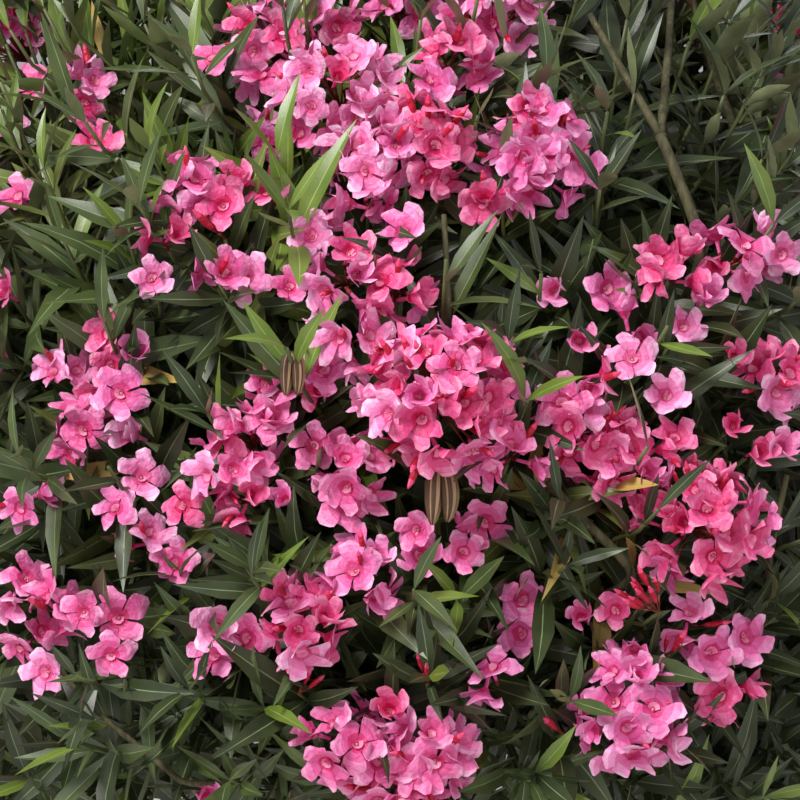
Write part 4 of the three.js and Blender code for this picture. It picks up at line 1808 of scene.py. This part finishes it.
@dataclass
class Foliage:
    """The twigs and leaves of the crown."""

    crown: Crown
    limbs: Limbs
    length: Pair = (0.064, 0.099)
    width: Pair = (0.82, 1.18)  # times a leaf's usual one
    young_length: float = 0.72  # times a grown leaf's
    young_from: float = 0.8  # share of a leafy tip from which its leaves are young
    whorl_step: float = 0.0222
    leaves_in_whorl: int = 3
    wide_opening: float = math.radians(80.0)
    narrow_opening: float = math.radians(32.0)
    lift: float = 0.06  # how far the leaves turn up
    ochre_share: float = 0.002
    fresh_share: float = 0.17  # of the young leaves
    stray: float = 0.05  # share of the leaves that may cross in front of a head
    head_body: Pair = (0.7, 0.8)  # of a head along and across, that no leaf enters, in its radii
    open_height: float = 0.12  # above a head, kept open
    open_width: float = 0.6
    sight_width: float = 0.72  # kept open towards the camera
    sight_margin: float = 60.0  # pixels round the picture
    limb_margin: float = 0.004
    bare_radius: float = 0.006  # kept clear round a bare twig
    bare_width: float = 0.012  # kept clear in front of it
    green_share: float = 0.45  # of a twig's length from its tip that is still green
    stem_radii: Pair = (0.0039, 0.0028)

    def __post_init__(self) -> None:
        """Starts the pieces, and lists the wood and the heads that leaves must keep clear of."""
        stock = LeafStock()
        self.stream = Stream(PLAN.seed + 500)
        self.templates = {detail: stock.templates(detail) for detail in Detail}
        self.twigs = Gathering("twigs", "bark", [
            BarkFinish("twig_bark", (58, 54, 36), (92, 87, 58), (120, 115, 86)).material(),
            LeafFinish("twig_green", (70, 78, 40), (100, 108, 60), 0.5).material(),
        ])
        self.leaves = Gathering("leaves", "foliage", stock.finishes())
        bare = np.concatenate([shoot.path.points for shoot in self.crown.shoots if shoot.bare])
        limb_points, limb_radii = self.limbs.nearest()
        self.wood = np.concatenate([limb_points, bare])
        self.wood_radii = np.concatenate([limb_radii, np.full(len(bare), self.bare_radius)])
        kept = [(shoot.centre, shoot.width, shoot.facing, shoot.close,
                 shoot.close and shoot.organ is not Organ.HEAD)
                for shoot in self.crown.shoots if shoot.organ is not Organ.LEAVES]
        kept += [(point, self.bare_width, VIEW.outlook, True, False)
                 for point in bare if VIEW.pixel(point)[1] < FORK[0][0][0][1]]
        self.centres, self.widths, self.facings, self.front, self.clear = map(np.array, zip(*kept))

    def build(self) -> list[Object]:
        """Makes the twig and leaf pieces."""
        self._mass_stems()
        for shoot in self.crown.shoots:
            self._twig(shoot)
            if not shoot.bare:
                self._whorls(shoot)
        return self.twigs.pieces() + self.leaves.pieces()

    def _mass_stems(self) -> None:
        """Carries each bough on through its mass, to where the last shoots leave it."""
        for mass in self.crown.masses:
            start = mass.start - mass.growth * 0.002
            end = start + mass.growth * (PLAN.mass_stem_length + 0.004)
            path = Path(np.linspace(start, end, 9))
            tube = tube_of(10, 8)
            self.twigs.add(tube, bent(tube, path, np.linspace(*self.stem_radii, 9)))

    def _twig(self, shoot: Shoot) -> None:
        """Adds a shoot's twig: bark at its foot, green towards its tip.

        Args:
            shoot: the shoot.
        """
        rings = len(shoot.path.points) - 1
        tube = tube_of(7 if shoot.close else 4, rings)
        radii = np.linspace(shoot.foot_radius, shoot.tip_radius, rings + 1)
        height = np.add.reduceat(tube.points[tube.corners, 2], starts_of(tube.counts)) / tube.counts
        green = (height > 1 - self.green_share) & (not shoot.bare)
        self.twigs.add(tube, bent(tube, shoot.path, radii), green.astype(np.int32))

    def _whorls(self, shoot: Shoot) -> None:
        """Adds a shoot's leaves in whorls of three, wider open the further they are from its tip.

        Args:
            shoot: the shoot.
        """
        stream = self.stream
        span = (1 - shoot.first_leaf) * shoot.path.length
        count = max(2, round(span / self.whorl_step))
        turn = stream.turn()
        end = 1.0 if shoot.organ is Organ.LEAVES else 0.9
        for w in range(count):
            place = w / (count - 1)
            share = shoot.first_leaf + (end - shoot.first_leaf) * place
            root, axis = shoot.path.at(share), shoot.path.heading(share)
            opening = self.wide_opening + (self.narrow_opening - self.wide_opening) * place ** 1.3
            young = shoot.organ is Organ.LEAVES and place > self.young_from
            size = self.young_length if young else 1.0 - 0.12 * (place < 0.15)
            for n in range(self.leaves_in_whorl):
                bearing = turn + w * math.pi / 3 + n * 2 * math.pi / 3 + stream.between(-0.25, 0.25)
                forward = tilted(axis, opening + stream.between(-0.2, 0.2), bearing)
                length = stream.between(*self.length) * size
                tint = self._tint(shoot, young)
                self._leaf(shoot.detail, root, axis, unit(forward + UP * self.lift), length, tint)

    def _tint(self, shoot: Shoot, young: bool) -> LeafTint:
        """Chooses a leaf's colours: its shoot's own, apart from fresh tips and the odd yellowed leaf.

        Args:
            shoot: the shoot.
            young: whether the leaf is among the last of a leafy tip.

        Returns:
            The colours.
        """
        draw = self.stream.share()
        if draw < self.ochre_share:
            return LeafTint.OCHRE
        if young and draw < self.fresh_share:
            return LeafTint.YOUNG
        return LeafTint.OLIVE if shoot.tint is LeafTint.OCHRE and draw > 0.6 else shoot.tint

    def _leaf(self, detail: Detail, root: Array, axis: Array, forward: Array, length: float,
              tint: LeafTint) -> None:
        """Adds one leaf, unless it would touch a limb or stand in the way of a head.

        Args:
            detail: how finely it is made.
            root: where it leaves the twig.
            axis: the twig's direction there.
            forward: the leaf's direction.
            length: its length.
            tint: its colours.
        """
        roll = self.stream.between(-0.5, 0.5)
        wide = self.stream.between(*self.width)
        stray = self.stream.chance(self.stray)
        template = self.stream.pick(self.templates[detail])
        body = [root + forward * length * share for share in (0.35, 0.6, 0.85)]
        if any(self._hides_head(point, stray) for point in body[1:]) or self._hits_wood(body):
            return
        axes = basis(forward, axis, roll) * np.array((length * wide, length, length))
        finishes = np.array(tint.value, np.int32)[template.finishes]
        self.leaves.add(template, template.placed(axes, root), finishes)

    def _hides_head(self, point: Array, stray: bool) -> bool:
        """Whether a part of a leaf lies in a head, or between it and whoever looks at it.

        Args:
            point: the part of the leaf.
            stray: whether this leaf may cross in front.

        Returns:
            True where the leaf must go.
        """
        away = point - self.centres
        along = np.einsum("ij,ij->i", away, self.facings)
        across = norm(away - along[:, None] * self.facings, axis=1)
        depth, breadth = self.head_body
        inside = (np.abs(along) < self.widths * depth) & (across < self.widths * breadth)
        above = (along > 0) & (along < self.open_height) & (across < self.widths * self.open_width)
        if inside.any() or (above.any() and not stray):
            return True
        if not VIEW.sees(point, self.sight_margin):
            return False
        sight = self.centres - VIEW.eye
        distance = norm(sight, axis=1)
        sight /= distance[:, None]
        seen = (point - VIEW.eye) @ sight.T
        aside = norm((point - VIEW.eye) - seen[:, None] * sight, axis=1)
        kept = self.clear if stray else self.front
        return bool((kept & (seen < distance) & (aside < self.widths * self.sight_width)).any())

    def _hits_wood(self, body: list[Array]) -> bool:
        """Whether a leaf's middle line comes too close to a stem, a bough or a bare twig."""
        clearance = self.wood_radii + self.limb_margin
        return any((norm(self.wood - point, axis=1) < clearance).any() for point in body)


@dataclass
class Blossom:
    """The flower heads, sprays of buds and seed pods at the shoots' tips."""

    crown: Crown
    spacing: float = 0.0150
    flower_reach: float = 0.0200
    least_dome: float = 0.007
    dome_share: float = 0.64  # of a whole ball that a head's flowers cover
    shell: Pair = (0.74, 1.10)  # where its flowers lie, in its dome's radii
    stretch: Pair = (0.88, 1.14)
    flower_size: Pair = (0.86, 1.10)
    own_tint: float = 0.72  # share of the flowers in their head's own tint
    fullness: float = 2.8
    near_fullness: float = 3.1
    head_buds: Pair = (0.1, 0.5)  # for each flower of a head
    bud_length: Pair = (0.018, 0.032)
    spray_buds: int = 9
    small_spray_buds: int = 2
    stalk_radii: Pair = (0.0011, 0.0008)
    stalk_end: float = 0.013  # behind the flower's throat
    pod_length: float = 2.2  # times the width of the pair

    def __post_init__(self) -> None:
        """Models the flowers and buds, and starts the pieces."""
        self.stream = Stream(PLAN.seed + 900)
        self.stock = FlowerStock()
        self.pod_stock = PodStock()
        bud_stock = BudStock()
        finishes = self.stock.finishes()
        self.flower_templates = {fine: self.stock.templates(fine) for fine in (True, False)}
        self.bud_templates = {True: bud_stock.template(6, 6), False: bud_stock.template(5, 4)}
        self.flowers = Gathering("flowers", "blossom", finishes)
        self.stalks = Gathering("flower_stalks", "blossom", finishes)
        self.buds = Gathering("buds", "blossom", bud_stock.finishes())
        self.pods = Gathering("seed_pods", "foliage", self.pod_stock.finishes())

    def build(self) -> list[Object]:
        """Makes the flower, bud and pod pieces."""
        bearers = {Organ.HEAD: self._head, Organ.BUDS: self._spray, Organ.PODS: self._pods}
        for shoot in self.crown.shoots:
            if shoot.organ in bearers:
                bearers[shoot.organ](shoot)
        return self.flowers.pieces() + self.stalks.pieces() + self.buds.pieces() + self.pods.pieces()

    def _head(self, shoot: Shoot) -> None:
        """Adds one domed head: flowers spread evenly over its dome, and buds between and above them.

        Args:
            shoot: the shoot that bears it.
        """
        stream = self.stream
        dome = math.sqrt(max(shoot.width ** 2 - self.flower_reach ** 2, self.least_dome ** 2))
        fullness = self.near_fullness if shoot.close else self.fullness
        count = 1 + round(fullness * max(0.0, (dome / self.spacing) ** 2 - 0.15))
        stretch = stream.between(*self.stretch)
        lean = int(stream.share() * len(self.stock.tints))
        turn = stream.turn()
        for n in range(count):
            polar = math.acos(1 - 2 * self.dome_share * (n + 0.35) / count) if count > 1 else 0.0
            bearing = turn + n * GOLDEN_ANGLE + stream.between(-0.3, 0.3)
            away = tilted(shoot.facing, polar, bearing)
            away[0] *= stretch
            place = shoot.centre + away * dome * stream.between(*self.shell)
            aside = tilted(away, 1.3, stream.turn())
            facing = unit(away + shoot.facing * 0.25 + aside * stream.between(0.1, 0.7))
            template = stream.pick(self.flower_templates[shoot.close])
            size = stream.between(*self.flower_size)
            axes = standing(facing, stream.turn()) * size
            tint = lean if stream.chance(self.own_tint) else int(stream.share() * len(self.stock.tints))
            self.flowers.add(template, template.placed(axes, place), self.stock.numbers(template, tint))
            self._stalk(shoot, place - facing * self.stalk_end)
        for _ in range(round(count * stream.between(*self.head_buds))):
            away = tilted(shoot.facing, stream.between(0.1, 1.6), stream.turn())
            place = shoot.centre + away * dome * stream.between(0.6, 0.95)
            self._bud(shoot, place, unit(away + UP * 0.3))

    def _stalk(self, shoot: Shoot, tip: Array) -> None:
        """Adds the thin stalk from a shoot's tip to one flower or bud.

        Args:
            shoot: the shoot.
            tip: where the stalk ends.
        """
        foot = shoot.path.points[-1]
        count = 3 if shoot.close else 2
        path = Path.bezier([foot, foot + (tip - foot) * 0.5 + UP * 0.002, tip], count)
        tube = tube_of(3, count - 1)
        finishes = np.full(len(tube.counts), FlowerPart.STALK, np.int32)
        self.stalks.add(tube, bent(tube, path, np.linspace(*self.stalk_radii, count)), finishes)

    def _bud(self, shoot: Shoot, place: Array, along: Array) -> None:
        """Adds one bud with its stalk.

        Args:
            shoot: the shoot that bears it.
            place: the bud's foot.
            along: its direction.
        """
        length = self.stream.between(*self.bud_length)
        template = self.bud_templates[shoot.close]
        self.buds.add(template, template.placed(standing(along, self.stream.turn()) * length, place))
        self._stalk(shoot, place + along * 0.001)

    def _spray(self, shoot: Shoot) -> None:
        """Adds a spray of buds that haven't opened yet.

        Args:
            shoot: the shoot that bears it.
        """
        across = unit(np.cross(shoot.facing, UP))
        axis = unit(shoot.facing * 0.35 + UP * 0.6 + across * self.stream.between(-0.7, 0.7))
        count = self.spray_buds if shoot.width > self.flower_reach else self.small_spray_buds
        for n in range(count):
            away = tilted(axis, 0.1 + 0.6 * math.sqrt(n / count), n * GOLDEN_ANGLE)
            place = shoot.path.points[-1] + away * shoot.width * self.stream.between(0.3, 0.8)
            self._bud(shoot, place, unit(away + axis * 0.6))

    def _pods(self, shoot: Shoot) -> None:
        """Adds a pair of pods that bow down from a shoot's tip.

        Args:
            shoot: the shoot that bears them.
        """
        base = shoot.path.points[-1]
        across = unit(np.cross(shoot.facing, UP))
        length = shoot.width * self.pod_length
        bow = self.stream.between(-0.3, 0.3)
        radius = min(self.pod_stock.radius, shoot.width * 0.3)
        for hand in (-1, 1):
            beside = across * hand * radius * 0.85
            knee = base + shoot.facing * 0.012 + beside
            middle = knee - UP * length * 0.5 + across * length * bow + beside * 0.3
            controls = [base, knee, middle, knee - UP * length * self.stream.between(0.88, 1.0)]
            self.pod_stock.add(self.pods, Path.bezier(controls, self.pod_stock.rings + 1), radius)


# Pot and soil

def turned(profile: list[tuple[float, float]], steps: int) -> bmesh.types.BMesh:
    """Turns an outline about the plant's axis into a closed shape.

    Args:
        profile: the outline's radii and heights.
        steps: how many steps the turn has.

    Returns:
        The shape, with its faces pointing outwards.
    """
    shape = bmesh.new()
    verts = [shape.verts.new((radius, 0.0, height)) for radius, height in profile]
    edges = [shape.edges.new(pair) for pair in zip(verts, verts[1:])]
    bmesh.ops.spin(shape, geom=verts + edges, cent=(0, 0, 0), axis=(0, 0, 1), angle=FULL_TURN,
                   steps=steps, use_merge=True)
    bmesh.ops.remove_doubles(shape, verts=shape.verts, dist=1e-5)
    bmesh.ops.recalc_face_normals(shape, faces=shape.faces)
    return shape


@dataclass
class Pot:
    """A plain thrown clay pot with a banded rim and three drain holes."""

    height: float = 0.380
    foot_radius: float = 0.158
    shoulder_radius: float = 0.204
    wall: float = 0.014
    floor: float = 0.020
    rim_height: float = 0.054
    rim_step: float = 0.012
    rounding: float = 0.005
    steps: int = 128
    turning_lines: int = 26  # up the outside
    line_depth: float = 0.0006
    rim_hollow: float = 0.0008
    drain_count: int = 3
    drain_radius: float = 0.011
    drain_ring: float = 0.070
    hole_edge: float = math.radians(40)  # a sharper turn is shaded as an edge

    def radius_at(self, height: float) -> float:
        """Gives the outer wall's radius at a height."""
        share = height / (self.height - self.rim_height)
        return self.foot_radius + (self.shoulder_radius - self.foot_radius) * share

    def _arc(self, x: float, z: float, start: float) -> list[Pair]:
        """Gives points of a rounded edge.

        Args:
            x: the radius at which its middle lies.
            z: the height of its middle.
            start: its first angle in degrees; it goes on for a quarter of a turn.

        Returns:
            Its radii and heights.
        """
        turns = [math.radians(start + 90 * n / 5) for n in range(6)]
        return [(x + self.rounding * math.cos(turn), z + self.rounding * math.sin(turn)) for turn in turns]

    def profile(self) -> list[Pair]:
        """Gives the outline as radius and height: underneath, up the outside and down the inside."""
        r = self.rounding
        rim_bottom = self.height - self.rim_height
        rim = self.radius_at(self.height) + self.rim_step
        lip = self.radius_at(self.height) - self.wall
        outline = [(0.0, 0.0), (self.foot_radius * 0.5, 0.0)]
        outline += self._arc(self.foot_radius - r, r, -90)
        for n in range(1, self.turning_lines):
            height = r + (rim_bottom - r) * n / self.turning_lines
            outline.append((self.radius_at(height) + self.line_depth * math.sin(n * 2.4), height))
        outline.append((self.radius_at(rim_bottom), rim_bottom))
        outline += self._arc(rim - r, rim_bottom + r, -90)
        for n in range(1, 6):
            height = rim_bottom + r + (self.rim_height - 2 * r) * n / 6
            outline.append((rim - self.rim_hollow * (1 - abs(n - 3) / 3), height))
        outline += self._arc(rim - r, self.height - r, 0)
        outline += self._arc(lip + r, self.height - r, 90)
        for n in range(1, 10):
            share = n / 9
            height = (self.height - r) * (1 - share) + self.floor * share
            outline.append((self.radius_at(height) - self.wall, height))
        return [*outline, (0.0, self.floor)]

    def build(self) -> None:
        """Makes the pot in place of its solid."""
        shape = turned(self.profile(), self.steps)
        piece = piece_of("clay_pot", shape, [ClayFinish("clay_unglazed").material()])
        self._drain(piece)
        settle(piece, "pot_clay", "pot")

    def _drain(self, piece: Object) -> None:
        """Cuts the drain holes through the floor.

        Args:
            piece: the pot.
        """
        shape = bmesh.new()
        for n in range(self.drain_count):
            angle = n * FULL_TURN / self.drain_count
            made = bmesh.ops.create_cone(shape, cap_ends=True, segments=32, radius1=self.drain_radius,
                                         radius2=self.drain_radius, depth=self.floor * 3)["verts"]
            centre = (self.drain_ring * math.cos(angle), self.drain_ring * math.sin(angle), 0.0)
            bmesh.ops.translate(shape, verts=made, vec=centre)
        drills = piece_of("drills", shape, [])
        cut = piece.modifiers.new("drains", "BOOLEAN")
        cut.operation = "DIFFERENCE"
        cut.object = drills
        cut.solver = "EXACT"
        graph = bpy.context.evaluated_depsgraph_get()
        finished = bpy.data.meshes.new_from_object(piece.evaluated_get(graph))
        piece.modifiers.clear()
        piece.data = finished
        finished.set_sharp_from_angle(angle=self.hole_edge)
        bpy.data.objects.remove(drills)


@dataclass
class Soil:
    """The compost: a solid bed with an uneven top, and loose crumbs on it."""

    pot: Pot
    top: float = 0.342
    clearance: float = 0.0006
    relief: float = 0.0045
    heap: float = 0.006
    rings: int = 30
    steps: int = 96
    edge_width: float = 0.02  # over which the relief dies away towards the wall
    heap_width: float = 0.035
    clods: float = 26.0  # in a metre
    crumbs: int = 620
    crumb_kinds: int = 4
    crumb_size: Pair = (0.0018, 0.0055)

    def _lift(self, x: float, y: float) -> float:
        """Gives how far the soil's top stands above its level.

        Args:
            x: the place along X.
            y: the place along Y.

        Returns:
            The height in metres.
        """
        away = math.hypot(x, y)
        reach = self.pot.radius_at(self.top) - self.pot.wall
        edge = min(1.0, max(0.0, (reach - away) / self.edge_width))
        rough = noise.fractal(Vector((x * self.clods, y * self.clods, 3.0)), 0.9, 2.0, 4)
        heap = math.exp(-((away - PLAN.foot_ring) / self.heap_width) ** 2)
        return edge * (self.relief * rough + self.heap * heap)

    def build(self) -> None:
        """Makes the bed in place of the solid, and the crumbs."""
        finish = SoilFinish("compost").material()
        bottom = self.pot.floor + 0.0003
        inside = [self.pot.radius_at(height) - self.pot.wall - self.clearance
                  for height in (bottom, self.top)]
        profile = [(inside[1] * n / self.rings, self.top) for n in range(self.rings + 1)]
        shape = turned([*profile, (inside[0], bottom), (0.0, bottom)], self.steps)
        for vert in shape.verts:
            if vert.co.z > self.top - 1e-4:
                vert.co.z += self._lift(vert.co.x, vert.co.y)
        settle(piece_of("compost_bed", shape, [finish]), "soil", "soil")
        self._crumbs(finish, inside[1])

    def _crumbs(self, finish: Material, reach: float) -> None:
        """Scatters rough crumbs over the bed, half sunk in it.

        Args:
            finish: the compost.
            reach: the bed's radius.
        """
        gathering = Gathering("compost_crumbs", "soil", [finish])
        stream = Stream(77)
        templates = []
        for kind in range(self.crumb_kinds):
            shape = bmesh.new()
            bmesh.ops.create_icosphere(shape, subdivisions=1, radius=1.0)
            for vert in shape.verts:
                vert.co *= 0.75 + 0.5 * noise.noise(vert.co * 1.7 + Vector((kind * 5.0, 0.0, 0.0)))
            templates.append(Template.from_bmesh(shape))
        for _ in range(self.crumbs):
            angle = stream.turn()
            away = (reach - 0.006) * math.sqrt(stream.share())
            x, y = away * math.cos(angle), away * math.sin(angle)
            size = stream.between(*self.crumb_size)
            axes = basis(tilted(UP, stream.between(0, 1.5), stream.turn()), UP, stream.turn()) * size
            place = np.array((x, y, self.top + self._lift(x, y) + size * 0.2))
            template = stream.pick(templates)
            gathering.add(template, template.placed(axes, place))
        gathering.pieces()


# Floor and lights

class Glow(Enum):
    """The kinds of soft light."""

    PANEL = "AREA"
    DAYLIGHT = "SUN"


@dataclass(frozen=True)
class Lamp:
    """One soft light: where it hangs, what it points at, its width and power."""

    name: str
    place: Triple
    aim: Triple
    width: float  # metres, or radians of sky for daylight
    power: float
    colour: Triple = (1.0, 1.0, 1.0)  # red, green and blue
    kind: Glow = Glow.PANEL

    def hang(self) -> None:
        """Makes the light."""
        data = bpy.data.lights.new(self.name, self.kind.value)
        if self.kind is Glow.PANEL:
            data.shape = "DISK"
            data.size = self.width
        else:
            data.angle = self.width
        data.energy = self.power
        data.color = self.colour
        made = bpy.data.objects.new(self.name, data)
        made.location = self.place
        made.rotation_euler = (Vector(self.aim) - Vector(self.place)).to_track_quat("-Z", "Y").to_euler()
        bpy.context.scene.collection.objects.link(made)


@dataclass
class Studio:
    """A pale floor under a soft sky, a broad light above the front and gentle ones at the sides and back."""

    floor_half: float = 60.0
    sky: float = 0.40
    sky_colour: tuple[float, ...] = (0.96, 0.975, 1.0, 1.0)
    lamps: tuple[Lamp, ...] = (
        Lamp("key", (-1.6, -2.2, 3.1), (0.0, -0.1, 0.95), 1.6, 89.0, (1.0, 0.985, 0.96)),
        Lamp("daylight", (-1.6, -2.2, 3.1), (0.0, -0.1, 0.95), 0.45, 1.06, (1.0, 0.985, 0.96),
             Glow.DAYLIGHT),
        Lamp("fill", (2.6, -2.2, 1.5), (0.0, 0.0, 0.9), 2.0, 15.0, (0.95, 0.98, 1.0)),
        Lamp("back", (0.6, 2.6, 2.8), (0.0, 0.0, 0.9), 2.2, 46.0),
    )

    def build(self) -> None:
        """Makes the floor, the sky and the lights."""
        shape = bmesh.new()
        bmesh.ops.create_grid(shape, x_segments=2, y_segments=2, size=self.floor_half)
        floor = piece_of("floor", shape, [FloorFinish("floor_pale").material()])
        world = bpy.data.worlds.new("sky")
        world.use_nodes = True
        background = world.node_tree.nodes["Background"]
        background.inputs["Color"].default_value = self.sky_colour
        background.inputs["Strength"].default_value = self.sky
        bpy.context.scene.world = world
        for lamp in self.lamps:
            lamp.hang()
        bpy.context.scene.view_settings.view_transform = "Standard"


def main() -> None:
    """Builds the plant, its pot and the studio."""
    logging.basicConfig(level=logging.INFO, format="%(name)s: %(message)s")
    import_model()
    VIEW.camera()
    Studio().build()
    pot = Pot()
    pot.build()
    Soil(pot).build()
    limbs = Limbs()
    limbs.plan()
    limbs.build()
    crown = Crown()
    crown.plan()
    pieces = Foliage(crown, limbs).build()
    pieces += Blossom(crown).build()
    for piece in pieces:
        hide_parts(*(f"foliage_{mass + 1:02d}" for mass in range(PLAN.mass_count)))
    LOG.info("crown: %d faces in %d pieces", sum(len(piece.data.polygons) for piece in pieces), len(pieces))


if __name__ == "__main__":
    main()
